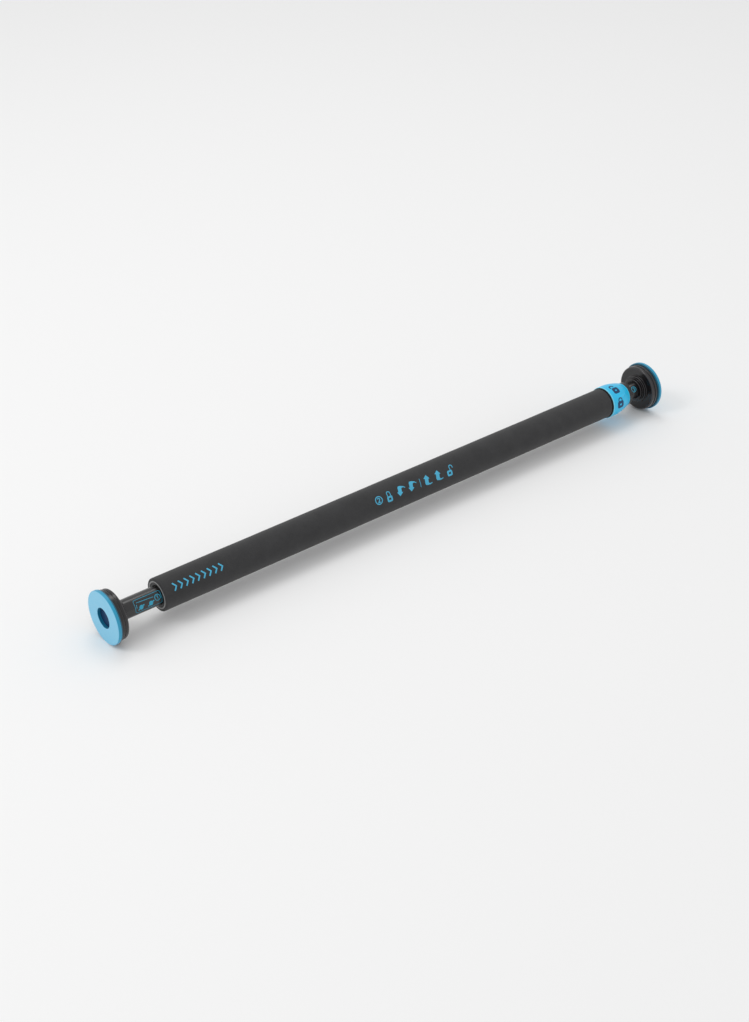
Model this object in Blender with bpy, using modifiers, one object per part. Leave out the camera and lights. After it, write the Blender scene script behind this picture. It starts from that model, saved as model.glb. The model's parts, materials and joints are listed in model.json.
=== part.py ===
"""Doorway pull-up bar with a screw extension and a lock ring.

The bar lies along X with its middle at the origin, +X towards the lock ring end and +Z up.
It is drawn screwed right in, with the lock ring turned to its open mark.
Sizes are metres.
"""

import math

import bmesh
import bpy
from mathutils import Matrix

# Overall sizes
CLOSED_LENGTH = 0.925
SCREW_TRAVEL = 0.300

# Clearances
GAP = 0.0003
END_STANDOFF = 0.012

# Rubber pads and the cups that hold them, measured from a pad's outer face
PAD_RADIUS = 0.035
PAD_THICKNESS = 0.006
PAD_RECESS_RADIUS = 0.0135
PAD_RECESS_DEPTH = 0.0048
PAD_EDGE = 0.0012
SPIGOT_WALL = 0.003
SPIGOT_DEPTH = 0.0055
CUP_INSET = 0.002
CUP_WALL = 0.0025
CUP_DEPTH = 0.0105
CUP_ROUNDING = 0.0025
CUP_FLOOR = 0.0032
CUP_WEB = 0.0057
HUB_WALL = 0.0037
HUB_STEP = 0.0035
HUB_STEP_LENGTH = 0.0035
HUB_LENGTH = 0.008
SOCKET_WALL = 0.0027

# Screw that holds a cup on its tube
FOOT_SCREW_RADIUS = 0.002
FOOT_SCREW_HEAD_RADIUS = 0.0055
FOOT_SCREW_HEAD = 0.0022
FOOT_SCREW_RECESS = 0.0027
FOOT_PLUG_LENGTH = 0.022

# Tubes and foam
INNER_TUBE_RADIUS = 0.0125
INNER_TUBE_WALL = 0.0012
MAIN_TUBE_RADIUS = 0.016
MAIN_TUBE_WALL = 0.0012
FOAM_THICKNESS = 0.00545
FOAM_EDGE = 0.0015
LEFT_TUBE_SHOWN = 0.051
RIGHT_TUBE_SHOWN = 0.0165
TUBE_OVERLAP = 0.075

# Mouth of the main tube
MOUTH_INSET = 0.0005
MOUTH_LIP = 0.001
MOUTH_FLANGE = 0.004
MOUTH_BUSH_LENGTH = 0.026
WIPER_THICKNESS = 0.0018
WIPER_WALL = 0.0012

# Screw, nut and anchor
ROD_RADIUS = 0.008
NUT_LENGTH = 0.030
NUT_FLANGE = 0.0037
GUIDE_LENGTH = 0.022
ROD_STOP_LENGTH = 0.006
ROD_STOP_MARGIN = 0.007
ROD_END = 0.002
ANCHOR_LENGTH = 0.030
CROSS_PIN_RADIUS = 0.0025
SMALL_PIN_RADIUS = 0.0015
SMALL_PIN_INSET = 0.006

# Swivel of the right foot
THRUST_BLOCK_LENGTH = 0.023
THRUST_BORE_RADIUS = 0.005
THRUST_WASHER_THICKNESS = 0.003
SPINDLE_PLUG_LENGTH = 0.023
SPINDLE_FLANGE = 0.003
SPINDLE_ENGAGEMENT = 0.057
BUSH_LENGTH = 0.018
BUSH_MARGIN = 0.005

# Lock housing, slider, wheel and cap, measured from the foam's end
SLEEVE_LENGTH = 0.025
FLANGE_RADIUS = 0.0226
FLANGE_THICKNESS = 0.0012
SHOULDER_RADIUS = 0.0212
SHOULDER_LENGTH = 0.0062
BARREL_WALL = 0.0017
BARREL_LENGTH = 0.025
CHAMBER_STANDOFF = 0.0012
SLIDER_LENGTH = 0.005
SLIDER_TRAVEL = 0.0032
STUD_RADIUS = 0.0015
DOG_COUNT = 6
DOG_LENGTH = 0.0032
DOG_WIDTH = 0.003
DOG_INSET = 0.0004
WHEEL_WALL = 0.0031
WHEEL_WIDTH = 0.009
WHEEL_PIN_DISTANCE = 0.0024
NOTCH_COUNT = 12
NOTCH_LENGTH = 0.004
CAP_HEAD = 0.0067
CAP_LIP = 0.001
HOUSING_PIN_DISTANCE = 0.015

# Lock ring
RING_RADIUS = 0.0233
RING_LENGTH = 0.0384
RING_STRAIGHT = 0.0114
RING_TIP_RADIUS = 0.0175
RING_WALL = 0.0016
RING_TAPER_POWER = 1.75
RING_TAPER_STEPS = 5
RING_LIP = 0.0015
RING_LEDGE_LENGTH = 0.0115
RING_TURN = math.radians(54)
GROOVE_DEPTH = 0.0016
GROOVE_STEPS = 10

# Fineness of round pieces
OUTER_SEGMENTS = 32
INNER_SEGMENTS = 24
PIN_SEGMENTS = 12

# Bores and bush sizes that follow from the tubes
INNER_TUBE_BORE = INNER_TUBE_RADIUS - INNER_TUBE_WALL
MAIN_TUBE_BORE = MAIN_TUBE_RADIUS - MAIN_TUBE_WALL
RUNNING_BORE = INNER_TUBE_RADIUS + GAP
BUSH_RADIUS = MAIN_TUBE_BORE - GAP
PLUG_RADIUS = INNER_TUBE_BORE - GAP
ROD_BORE = ROD_RADIUS + GAP
FOAM_BORE = MAIN_TUBE_RADIUS + GAP
FOAM_RADIUS = FOAM_BORE + FOAM_THICKNESS

# Foot stations, measured from a pad's outer face
CUP_RADIUS = PAD_RADIUS - CUP_INSET
CUP_FRONT = PAD_THICKNESS + GAP
CUP_REAR = PAD_THICKNESS + CUP_DEPTH
HUB_END = CUP_REAR + HUB_LENGTH
SOCKET_FLOOR = CUP_FRONT + CUP_WEB
SCREW_SEAT = CUP_FRONT + FOOT_SCREW_RECESS
TUBE_END = SOCKET_FLOOR + GAP

# Stations along the bar
LEFT_FACE = -CLOSED_LENGTH / 2
RIGHT_FACE = CLOSED_LENGTH / 2
LEFT_TUBE_START = LEFT_FACE + TUBE_END
FOAM_START = LEFT_FACE + HUB_END + LEFT_TUBE_SHOWN
MOUTH = FOAM_START + MOUTH_INSET
MAIN_TUBE_START = MOUTH + MOUTH_FLANGE + GAP
LEFT_TUBE_END = MOUTH + SCREW_TRAVEL + TUBE_OVERLAP
NUT_FACE = LEFT_TUBE_END + GAP + NUT_FLANGE
NUT_BACK = NUT_FACE - NUT_LENGTH
ANCHOR_START = NUT_FACE + END_STANDOFF
ANCHOR_END = ANCHOR_START + ANCHOR_LENGTH
ROD_STOP_END = NUT_BACK - SCREW_TRAVEL - ROD_STOP_MARGIN
ROD_START = ROD_STOP_END - ROD_STOP_LENGTH - GAP

CAP_END = RIGHT_FACE - HUB_END - RIGHT_TUBE_SHOWN
RING_END = CAP_END - CAP_HEAD - GAP
RING_START = RING_END - RING_LENGTH
FLANGE_START = RING_START - GAP - FLANGE_THICKNESS
FOAM_END = FLANGE_START - GAP
SHOULDER_START = FLANGE_START + FLANGE_THICKNESS
SHOULDER_END = SHOULDER_START + SHOULDER_LENGTH
BARREL_END = SHOULDER_END + BARREL_LENGTH
CHAMBER_START = SHOULDER_END + CHAMBER_STANDOFF
SLIDER_START = CHAMBER_START + GAP
SLIDER_END = SLIDER_START + SLIDER_LENGTH
STUD_STATION = SLIDER_START + SLIDER_LENGTH / 2
WHEEL_START = SLIDER_END + DOG_LENGTH + GAP
WHEEL_END = WHEEL_START + WHEEL_WIDTH
WHEEL_PIN_STATION = WHEEL_END - WHEEL_PIN_DISTANCE
SPINDLE_START = FOAM_END - SPINDLE_ENGAGEMENT
SPINDLE_END = RIGHT_FACE - TUBE_END
THRUST_END = SPINDLE_START - GAP - SPINDLE_FLANGE - GAP
THRUST_BLOCK_END = THRUST_END - THRUST_WASHER_THICKNESS - GAP

# Radii of the lock, from the spindle outwards
WHEEL_RADIUS = RUNNING_BORE + WHEEL_WALL
CHAMBER_RADIUS = WHEEL_RADIUS + GAP
BARREL_RADIUS = CHAMBER_RADIUS + BARREL_WALL
RING_BORE = SHOULDER_RADIUS + GAP
GROOVE_RADIUS = RING_BORE - GAP
RING_LEDGE_RADIUS = GROOVE_RADIUS - GROOVE_DEPTH
STUD_TOP = GROOVE_RADIUS - GAP
NOTCH_WIDTH = DOG_WIDTH + 2 * GAP

# A turned piece is drawn along its own Z and then laid along the bar. Angles round the bar are
# counted from straight up towards the front, which is also the right-hand turn about +X.
ALONG_BAR = (0, math.pi / 2, 0)
UP = 0.0
FRONT = math.pi / 2
DOWN = math.pi
BACK = -math.pi / 2
STUDS = (("upper", UP), ("lower", DOWN))


def clear_scene():
    for old in list(bpy.data.objects):
        bpy.data.objects.remove(old, do_unlink=True)


def make_collection(name, shown=True):
    collection = bpy.data.collections.new(name)
    bpy.context.scene.collection.children.link(collection)
    collection.hide_render = not shown
    return collection


def make_material(name, colour, roughness, metallic=0.0):
    material = bpy.data.materials.new(name)
    material.use_nodes = True
    shader = material.node_tree.nodes["Principled BSDF"]
    shader.inputs["Base Color"].default_value = (*colour, 1)
    shader.inputs["Roughness"].default_value = roughness
    shader.inputs["Metallic"].default_value = metallic
    return material


clear_scene()
PARTS = make_collection("pull_up_bar")
CUTTERS = make_collection("cutters", shown=False)

PAD_RUBBER = make_material("pad_rubber", (0.26, 0.60, 0.86), 0.55)
BLACK_ABS = make_material("black_abs", (0.020, 0.019, 0.020), 0.22)
BLACK_NYLON = make_material("black_nylon", (0.030, 0.030, 0.032), 0.45)
BLACK_PAINTED_STEEL = make_material("black_painted_steel", (0.022, 0.021, 0.023), 0.25)
FOAM = make_material("nbr_foam", (0.045, 0.045, 0.046), 0.9)
RING_ABS = make_material("cyan_abs", (0.03, 0.50, 0.83), 0.35)
ZINC_STEEL = make_material("zinc_plated_steel", (0.62, 0.63, 0.65), 0.35, 1.0)
BRIGHT_STEEL = make_material("ground_steel", (0.56, 0.57, 0.58), 0.25, 1.0)
BRONZE = make_material("sintered_bronze", (0.50, 0.33, 0.16), 0.45, 1.0)
WHITE_ACETAL = make_material("white_acetal", (0.82, 0.82, 0.79), 0.4)


def make_frame(name, location=(0, 0, 0), rotation=(0, 0, 0), parent=None):
    """An empty on the bar's axis that carries the pieces of one moving group."""
    frame = bpy.data.objects.new(name, None)
    frame.location = location
    frame.rotation_euler = rotation
    frame.parent = parent
    PARTS.objects.link(frame)
    return frame


def add_object(name, mesh, material, frame):
    piece = bpy.data.objects.new(name, mesh)
    if material is not None:
        mesh.materials.append(material)
    piece.parent = frame
    PARTS.objects.link(piece)
    return piece


def turned(name, outer, inner, material, frame, segments=INNER_SEGMENTS):
    """A turned piece. outer and inner hold (distance along the axis, radius), both from the near
    end to the far end. A solid piece has inner None. Two points of inner on the axis part a
    recess in the near end from one in the far end."""
    inner = inner or [(outer[0][0], 0.0), (outer[-1][0], 0.0)]
    outline = list(reversed(outer)) + inner
    points = [(radius, 0.0, distance) for distance, radius in outline]
    count = len(points)
    loop = [(i, (i + 1) % count) for i in range(count)]
    edges = [(i, j) for i, j in loop if points[i][0] > 0 or points[j][0] > 0]
    mesh = bpy.data.meshes.new(name)
    mesh.from_pydata(points, edges, [])
    piece = add_object(name, mesh, material, frame)
    piece.rotation_euler = ALONG_BAR
    screw = piece.modifiers.new("turn", "SCREW")
    screw.axis = "Z"
    screw.angle = 2 * math.pi
    screw.steps = segments
    screw.render_steps = segments
    screw.use_merge_vertices = True
    screw.merge_threshold = 0.00001
    screw.use_smooth_shade = True
    return piece


def pin(name, start, end, radius, material, frame, station, angle=UP):
    """A plain round pin across the bar, from start to end along the given angle."""
    mesh = bpy.data.meshes.new(name)
    shape = bmesh.new()
    bmesh.ops.create_cone(
        shape, cap_ends=True, segments=PIN_SEGMENTS, radius1=radius, radius2=radius, depth=end - start
    )
    bmesh.ops.translate(shape, verts=shape.verts, vec=(0, 0, (start + end) / 2))
    shape.to_mesh(mesh)
    shape.free()
    piece = add_object(name, mesh, material, frame)
    piece.rotation_euler = (angle, 0, 0)
    piece.location.x = station
    return piece


def combine(piece, tool, operation):
    """Cuts or joins with the tool's shape, and puts the tool away as a wire guide."""
    if tool.name not in CUTTERS.objects:
        PARTS.objects.unlink(tool)
        CUTTERS.objects.link(tool)
        tool.hide_render = True
        tool.display_type = "WIRE"
    boolean = piece.modifiers.new(tool.name, "BOOLEAN")
    boolean.operation = operation
    boolean.solver = "EXACT"
    boolean.object = tool


def cut(piece, cutter):
    combine(piece, cutter, "DIFFERENCE")


def join(piece, addition):
    combine(piece, addition, "UNION")


def drill(pieces, name, start, end, radius, frame, station, angle=UP):
    """One straight hole through all of the pieces."""
    cutter = pin("hole_" + name, start, end, radius + GAP, None, frame, station, angle)
    for piece in pieces:
        cut(piece, cutter)


def blocks(name, count, size, centre, frame):
    """Equal blocks round the bar as one tool, the first straight up. size is (along, round, out
    from the bar), and centre is (station, distance from the axis)."""
    shape = bmesh.new()
    for i in range(count):
        block = bmesh.ops.create_cube(shape, size=1.0)["verts"]
        bmesh.ops.scale(shape, verts=block, vec=size)
        bmesh.ops.translate(shape, verts=block, vec=(0, 0, centre[1]))
        turn = Matrix.Rotation(2 * math.pi * i / count, 3, "X")
        bmesh.ops.rotate(shape, verts=block, cent=(0, 0, 0), matrix=turn)
    mesh = bpy.data.meshes.new(name)
    shape.to_mesh(mesh)
    shape.free()
    tool = add_object(name, mesh, None, frame)
    tool.location.x = centre[0]
    return tool


def spiral_bar(name, inside, outside, width, start, end, frame):
    """A square bar that winds round the bar. start and end are (station, angle)."""
    shape = bmesh.new()
    corners = [
        (start[0] + side * width / 2, 0, radius)
        for side, radius in ((-1, inside), (1, inside), (1, outside), (-1, outside))
    ]
    face = shape.faces.new([shape.verts.new(corner) for corner in corners])
    turn = Matrix.Rotation(start[1], 3, "X")
    bmesh.ops.rotate(shape, verts=shape.verts, cent=(0, 0, 0), matrix=turn)
    bmesh.ops.spin(
        shape,
        geom=[face, *face.edges, *face.verts],
        cent=(0, 0, 0),
        axis=(1, 0, 0),
        dvec=((end[0] - start[0]) / GROOVE_STEPS, 0, 0),
        angle=end[1] - start[1],
        steps=GROOVE_STEPS,
    )
    bmesh.ops.recalc_face_normals(shape, faces=shape.faces)
    mesh = bpy.data.meshes.new(name)
    shape.to_mesh(mesh)
    shape.free()
    return add_object(name, mesh, None, frame)


def make_foot(side, frame):
    """Pad, cup, plug and screw of one foot, from the pad's outer face inwards along +X."""
    spigot_radius = CUP_RADIUS - CUP_WALL - GAP
    turned(
        side + "_pad",
        [
            (0, PAD_RADIUS - PAD_EDGE),
            (PAD_EDGE * 0.3, PAD_RADIUS - PAD_EDGE * 0.3),
            (PAD_EDGE, PAD_RADIUS),
            (PAD_THICKNESS, PAD_RADIUS),
            (PAD_THICKNESS, spigot_radius),
            (PAD_THICKNESS + SPIGOT_DEPTH, spigot_radius),
        ],
        [
            (0, PAD_RECESS_RADIUS),
            (PAD_RECESS_DEPTH, PAD_RECESS_RADIUS),
            (PAD_RECESS_DEPTH, 0),
            (PAD_THICKNESS, 0),
            (PAD_THICKNESS, spigot_radius - SPIGOT_WALL),
            (PAD_THICKNESS + SPIGOT_DEPTH, spigot_radius - SPIGOT_WALL),
        ],
        PAD_RUBBER, frame, segments=OUTER_SEGMENTS,
    )
    hub_radius = RUNNING_BORE + HUB_WALL
    pocket_floor = CUP_REAR - CUP_FLOOR
    turned(
        side + "_cup",
        [
            (CUP_FRONT, CUP_RADIUS),
            (CUP_REAR - CUP_ROUNDING, CUP_RADIUS),
            (CUP_REAR - CUP_ROUNDING * 0.3, CUP_RADIUS - CUP_ROUNDING * 0.3),
            (CUP_REAR, CUP_RADIUS - CUP_ROUNDING),
            (CUP_REAR, hub_radius + HUB_STEP),
            (CUP_REAR + HUB_STEP_LENGTH, hub_radius + HUB_STEP),
            (CUP_REAR + HUB_STEP_LENGTH, hub_radius),
            (HUB_END, hub_radius),
        ],
        [
            (CUP_FRONT, CUP_RADIUS - CUP_WALL),
            (pocket_floor, CUP_RADIUS - CUP_WALL),
            (pocket_floor, RUNNING_BORE + SOCKET_WALL),
            (CUP_FRONT, RUNNING_BORE + SOCKET_WALL),
            (CUP_FRONT, FOOT_SCREW_HEAD_RADIUS + GAP),
            (SCREW_SEAT, FOOT_SCREW_HEAD_RADIUS + GAP),
            (SCREW_SEAT, FOOT_SCREW_RADIUS + GAP),
            (SOCKET_FLOOR, FOOT_SCREW_RADIUS + GAP),
            (SOCKET_FLOOR, RUNNING_BORE),
            (HUB_END, RUNNING_BORE),
        ],
        BLACK_ABS, frame, segments=OUTER_SEGMENTS,
    )
    turned(
        side + "_foot_plug",
        [(TUBE_END, PLUG_RADIUS), (TUBE_END + FOOT_PLUG_LENGTH, PLUG_RADIUS)],
        [
            (TUBE_END, FOOT_SCREW_RADIUS + GAP),
            (TUBE_END + FOOT_PLUG_LENGTH, FOOT_SCREW_RADIUS + GAP),
        ],
        BLACK_NYLON, frame,
    )
    head_seat = SCREW_SEAT - GAP
    turned(
        side + "_foot_screw",
        [
            (head_seat - FOOT_SCREW_HEAD, FOOT_SCREW_HEAD_RADIUS * 0.7),
            (head_seat - FOOT_SCREW_HEAD * 0.5, FOOT_SCREW_HEAD_RADIUS),
            (head_seat, FOOT_SCREW_HEAD_RADIUS),
            (head_seat, FOOT_SCREW_RADIUS),
            (TUBE_END + FOOT_PLUG_LENGTH - FOOT_SCREW_RADIUS, FOOT_SCREW_RADIUS),
        ],
        None, ZINC_STEEL, frame, segments=PIN_SEGMENTS * 2,
    )


def make_tube(name, start, end, radius, wall, material, frame, segments=OUTER_SEGMENTS):
    return turned(
        name,
        [(start, radius), (end, radius)],
        [(start, radius - wall), (end, radius - wall)],
        material, frame, segments=segments,
    )


def make_left_end(frame):
    """The left foot's tube, with the nut fixed in its far end and the ring that guides it."""
    tube = make_tube(
        "left_tube", LEFT_TUBE_START, LEFT_TUBE_END, INNER_TUBE_RADIUS, INNER_TUBE_WALL,
        BLACK_PAINTED_STEEL, frame,
    )
    nut = turned(
        "screw_nut",
        [
            (NUT_BACK, PLUG_RADIUS),
            (LEFT_TUBE_END + GAP, PLUG_RADIUS),
            (LEFT_TUBE_END + GAP, INNER_TUBE_RADIUS),
            (NUT_FACE, INNER_TUBE_RADIUS),
        ],
        [(NUT_BACK, ROD_BORE), (NUT_FACE, ROD_BORE)],
        WHITE_ACETAL, frame,
    )
    turned(
        "nut_guide_ring",
        [(LEFT_TUBE_END - GUIDE_LENGTH, BUSH_RADIUS), (LEFT_TUBE_END, BUSH_RADIUS)],
        [(LEFT_TUBE_END - GUIDE_LENGTH, RUNNING_BORE), (LEFT_TUBE_END, RUNNING_BORE)],
        WHITE_ACETAL, frame,
    )
    pin_station = LEFT_TUBE_END - SMALL_PIN_INSET
    pin_bottom = ROD_BORE + (PLUG_RADIUS - ROD_BORE) / 3
    drill(
        (tube, nut), "nut_pin", pin_bottom - GAP, INNER_TUBE_RADIUS * 1.2, SMALL_PIN_RADIUS,
        frame, pin_station,
    )
    pin(
        "nut_pin", pin_bottom, INNER_TUBE_RADIUS - GAP, SMALL_PIN_RADIUS, ZINC_STEEL, frame,
        pin_station,
    )


def make_wiper(frame):
    """Ring in the mouth that wipes the left tube. It travels with the mouth and doesn't turn."""
    start = MOUTH + MOUTH_LIP + GAP
    turned(
        "wiper_ring",
        [(start, RUNNING_BORE + WIPER_WALL), (start + WIPER_THICKNESS, RUNNING_BORE + WIPER_WALL)],
        [(start, RUNNING_BORE), (start + WIPER_THICKNESS, RUNNING_BORE)],
        BLACK_NYLON, frame,
    )


def make_grip(frame):
    """Main tube with its foam, mouth bush, screw rod and everything pinned inside it."""
    tube = make_tube(
        "main_tube", MAIN_TUBE_START, FOAM_END, MAIN_TUBE_RADIUS, MAIN_TUBE_WALL,
        BLACK_PAINTED_STEEL, frame,
    )
    turned(
        "foam_grip",
        [
            (FOAM_START, FOAM_RADIUS - FOAM_EDGE),
            (FOAM_START + FOAM_EDGE * 0.3, FOAM_RADIUS - FOAM_EDGE * 0.3),
            (FOAM_START + FOAM_EDGE, FOAM_RADIUS),
            (FOAM_END - FOAM_EDGE, FOAM_RADIUS),
            (FOAM_END - FOAM_EDGE * 0.3, FOAM_RADIUS - FOAM_EDGE * 0.3),
            (FOAM_END, FOAM_RADIUS - FOAM_EDGE),
        ],
        [(FOAM_START, FOAM_BORE), (FOAM_END, FOAM_BORE)],
        FOAM, frame, segments=OUTER_SEGMENTS,
    )
    groove_start = MOUTH + MOUTH_LIP
    groove_end = groove_start + WIPER_THICKNESS + 2 * GAP
    groove_radius = RUNNING_BORE + WIPER_WALL + GAP
    bush_end = MOUTH + MOUTH_BUSH_LENGTH
    turned(
        "mouth_bush",
        [
            (MOUTH, MAIN_TUBE_RADIUS),
            (MOUTH + MOUTH_FLANGE, MAIN_TUBE_RADIUS),
            (MOUTH + MOUTH_FLANGE, BUSH_RADIUS),
            (bush_end, BUSH_RADIUS),
        ],
        [
            (MOUTH, RUNNING_BORE),
            (groove_start, RUNNING_BORE),
            (groove_start, groove_radius),
            (groove_end, groove_radius),
            (groove_end, RUNNING_BORE),
            (bush_end, RUNNING_BORE),
        ],
        BLACK_NYLON, frame, segments=OUTER_SEGMENTS,
    )
    screw_rod = turned(
        "threaded_rod",
        [(ROD_START, ROD_RADIUS), (ANCHOR_END - ROD_END, ROD_RADIUS)],
        None, ZINC_STEEL, frame,
    )
    turned(
        "rod_stop_ring",
        [(ROD_START + GAP, PLUG_RADIUS - GAP), (ROD_STOP_END, PLUG_RADIUS - GAP)],
        [(ROD_START + GAP, ROD_BORE), (ROD_STOP_END, ROD_BORE)],
        ZINC_STEEL, frame,
    )
    anchor = turned(
        "rod_anchor",
        [(ANCHOR_START, BUSH_RADIUS), (ANCHOR_END, BUSH_RADIUS)],
        [(ANCHOR_START, ROD_BORE), (ANCHOR_END, ROD_BORE)],
        BRIGHT_STEEL, frame,
    )
    block = turned(
        "thrust_block",
        [(THRUST_BLOCK_END - THRUST_BLOCK_LENGTH, BUSH_RADIUS), (THRUST_BLOCK_END, BUSH_RADIUS)],
        [
            (THRUST_BLOCK_END - THRUST_BLOCK_LENGTH, THRUST_BORE_RADIUS),
            (THRUST_BLOCK_END, THRUST_BORE_RADIUS),
        ],
        BRIGHT_STEEL, frame,
    )
    cross_pins = (
        ("anchor_pin", (ANCHOR_START + ANCHOR_END) / 2, (tube, anchor, screw_rod)),
        ("thrust_pin", THRUST_BLOCK_END - THRUST_BLOCK_LENGTH / 2, (tube, block)),
    )
    pin_reach = MAIN_TUBE_RADIUS - GAP
    for name, station, pieces in cross_pins:
        pin(name, -pin_reach, pin_reach, CROSS_PIN_RADIUS, ZINC_STEEL, frame, station)
        drill(pieces, name, -2 * pin_reach, 2 * pin_reach, CROSS_PIN_RADIUS, frame, station)
    turned(
        "thrust_washer",
        [(THRUST_END - THRUST_WASHER_THICKNESS, INNER_TUBE_RADIUS), (THRUST_END, INNER_TUBE_RADIUS)],
        [
            (THRUST_END - THRUST_WASHER_THICKNESS, THRUST_BORE_RADIUS),
            (THRUST_END, THRUST_BORE_RADIUS),
        ],
        BRONZE, frame,
    )
    bush_start = SPINDLE_START + BUSH_MARGIN
    turned(
        "spindle_bush",
        [(bush_start, BUSH_RADIUS), (bush_start + BUSH_LENGTH, BUSH_RADIUS)],
        [(bush_start, RUNNING_BORE), (bush_start + BUSH_LENGTH, RUNNING_BORE)],
        WHITE_ACETAL, frame,
    )
    return tube


def make_lock_housing(frame, main_tube):
    """Housing on the end of the main tube, with the cap that keeps the lock ring on it."""
    sleeve_start = FLANGE_START - SLEEVE_LENGTH
    housing = turned(
        "lock_housing",
        [
            (sleeve_start, BUSH_RADIUS),
            (FLANGE_START, BUSH_RADIUS),
            (FLANGE_START, FLANGE_RADIUS),
            (SHOULDER_START, FLANGE_RADIUS),
            (SHOULDER_START, SHOULDER_RADIUS),
            (SHOULDER_END, SHOULDER_RADIUS),
            (SHOULDER_END, BARREL_RADIUS),
            (BARREL_END, BARREL_RADIUS),
        ],
        [
            (sleeve_start, RUNNING_BORE),
            (CHAMBER_START, RUNNING_BORE),
            (CHAMBER_START, CHAMBER_RADIUS),
            (BARREL_END, CHAMBER_RADIUS),
        ],
        BLACK_NYLON, frame, segments=OUTER_SEGMENTS,
    )
    slot_length = SLIDER_TRAVEL + 2 * (STUD_RADIUS + GAP)
    slot_size = (slot_length, 2 * (STUD_RADIUS + GAP), 2 * BARREL_WALL)
    slot_centre = (STUD_STATION + SLIDER_TRAVEL / 2, CHAMBER_RADIUS + BARREL_WALL / 2)
    cut(housing, blocks("stud_slots", len(STUDS), slot_size, slot_centre, frame))
    cap_start = WHEEL_END + GAP
    turned(
        "lock_cap",
        [
            (cap_start, WHEEL_RADIUS),
            (RING_END + GAP, WHEEL_RADIUS),
            (RING_END + GAP, WHEEL_RADIUS + CAP_LIP),
            (CAP_END, WHEEL_RADIUS + CAP_LIP),
        ],
        [(cap_start, RUNNING_BORE), (CAP_END, RUNNING_BORE)],
        BLACK_ABS, frame, segments=OUTER_SEGMENTS,
    )
    pin_station = FLANGE_START - HOUSING_PIN_DISTANCE
    pin_bottom = RUNNING_BORE + 2 * GAP
    for name, angle in (("housing_pin_front", FRONT), ("housing_pin_back", BACK)):
        pin(
            name, pin_bottom, MAIN_TUBE_RADIUS - GAP, SMALL_PIN_RADIUS, ZINC_STEEL, frame,
            pin_station, angle,
        )
        drill(
            (housing, main_tube), name, RUNNING_BORE * 0.9, MAIN_TUBE_RADIUS * 1.1,
            SMALL_PIN_RADIUS, frame, pin_station, angle,
        )


def ring_outer_radius(along):
    """The ring's outer radius: straight at first, then falling ever faster to its tip."""
    taper = max(0.0, (along - RING_STRAIGHT) / (RING_LENGTH - RING_STRAIGHT))
    return RING_RADIUS - (RING_RADIUS - RING_TIP_RADIUS) * taper ** RING_TAPER_POWER


def make_lock_ring(frame):
    """Ring that the user turns. Its inside has two spiral grooves that drive the slider's studs:
    as the ring turns back by RING_TURN, a groove carries its stud along by SLIDER_TRAVEL. Short
    straight entries let the ring go on over the studs."""
    stations = [
        RING_STRAIGHT + (RING_LENGTH - RING_STRAIGHT) * i / RING_TAPER_STEPS
        for i in range(RING_TAPER_STEPS + 1)
    ]
    outer = [(RING_START, RING_RADIUS)]
    outer += [(RING_START + along, ring_outer_radius(along)) for along in stations]
    ledge_start = SHOULDER_END + GAP
    ledge_end = ledge_start + RING_LEDGE_LENGTH
    inner = [
        (RING_START, RING_BORE),
        (ledge_start, RING_BORE),
        (ledge_start, RING_LEDGE_RADIUS),
        (ledge_end, RING_LEDGE_RADIUS),
    ]
    for along in stations:
        wall_inside = ring_outer_radius(along) - RING_WALL
        if RING_START + along > ledge_end and CHAMBER_RADIUS < wall_inside < RING_LEDGE_RADIUS:
            inner.append((RING_START + along, wall_inside))
    inner += [(RING_END - RING_LIP, CHAMBER_RADIUS), (RING_END, CHAMBER_RADIUS)]
    ring = turned("lock_ring", outer, inner, RING_ABS, frame, segments=OUTER_SEGMENTS)
    slope = SLIDER_TRAVEL / RING_TURN
    overrun = (STUD_RADIUS + 2 * GAP) / RING_LEDGE_RADIUS
    groove_width = 2 * (STUD_RADIUS + GAP) + slope * overrun
    for name, angle in STUDS:
        groove_start = (STUD_STATION - slope * overrun, angle - overrun)
        groove_end = (STUD_STATION + SLIDER_TRAVEL + slope * overrun, angle + RING_TURN + overrun)
        groove = spiral_bar(
            "groove_" + name, RING_LEDGE_RADIUS * 0.95, GROOVE_RADIUS, groove_width,
            groove_start, groove_end, frame,
        )
        cut(ring, groove)
    entry_inside = RING_LEDGE_RADIUS * 0.95
    entry_length = STUD_STATION - SHOULDER_END
    entry_size = (entry_length, 2 * (STUD_RADIUS + GAP), GROOVE_RADIUS - entry_inside)
    entry_centre = (SHOULDER_END + entry_length / 2, (GROOVE_RADIUS + entry_inside) / 2)
    cut(ring, blocks("stud_entries", len(STUDS), entry_size, entry_centre, frame))


def make_slider(frame):
    """Toothed ring that slides in the housing but can't turn in it, and its two studs."""
    slider = turned(
        "lock_slider",
        [(SLIDER_START, WHEEL_RADIUS), (SLIDER_END, WHEEL_RADIUS)],
        [(SLIDER_START, RUNNING_BORE), (SLIDER_END, RUNNING_BORE)],
        BRIGHT_STEEL, frame, segments=OUTER_SEGMENTS,
    )
    dog_inside = RUNNING_BORE + DOG_INSET
    dog_outside = WHEEL_RADIUS - DOG_INSET
    root = DOG_LENGTH / 2
    dogs = blocks(
        "slider_dogs", DOG_COUNT, (DOG_LENGTH + root, DOG_WIDTH, dog_outside - dog_inside),
        (SLIDER_END + (DOG_LENGTH - root) / 2, (dog_inside + dog_outside) / 2), frame,
    )
    join(slider, dogs)
    for name, angle in STUDS:
        stud_bottom = RUNNING_BORE + 2 * GAP
        drill(
            (slider,), "stud_" + name, RUNNING_BORE * 0.9, WHEEL_RADIUS * 1.1, STUD_RADIUS,
            frame, STUD_STATION, angle,
        )
        pin(
            "slider_stud_" + name, stud_bottom, STUD_TOP, STUD_RADIUS, BRIGHT_STEEL, frame,
            STUD_STATION, angle,
        )


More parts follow.
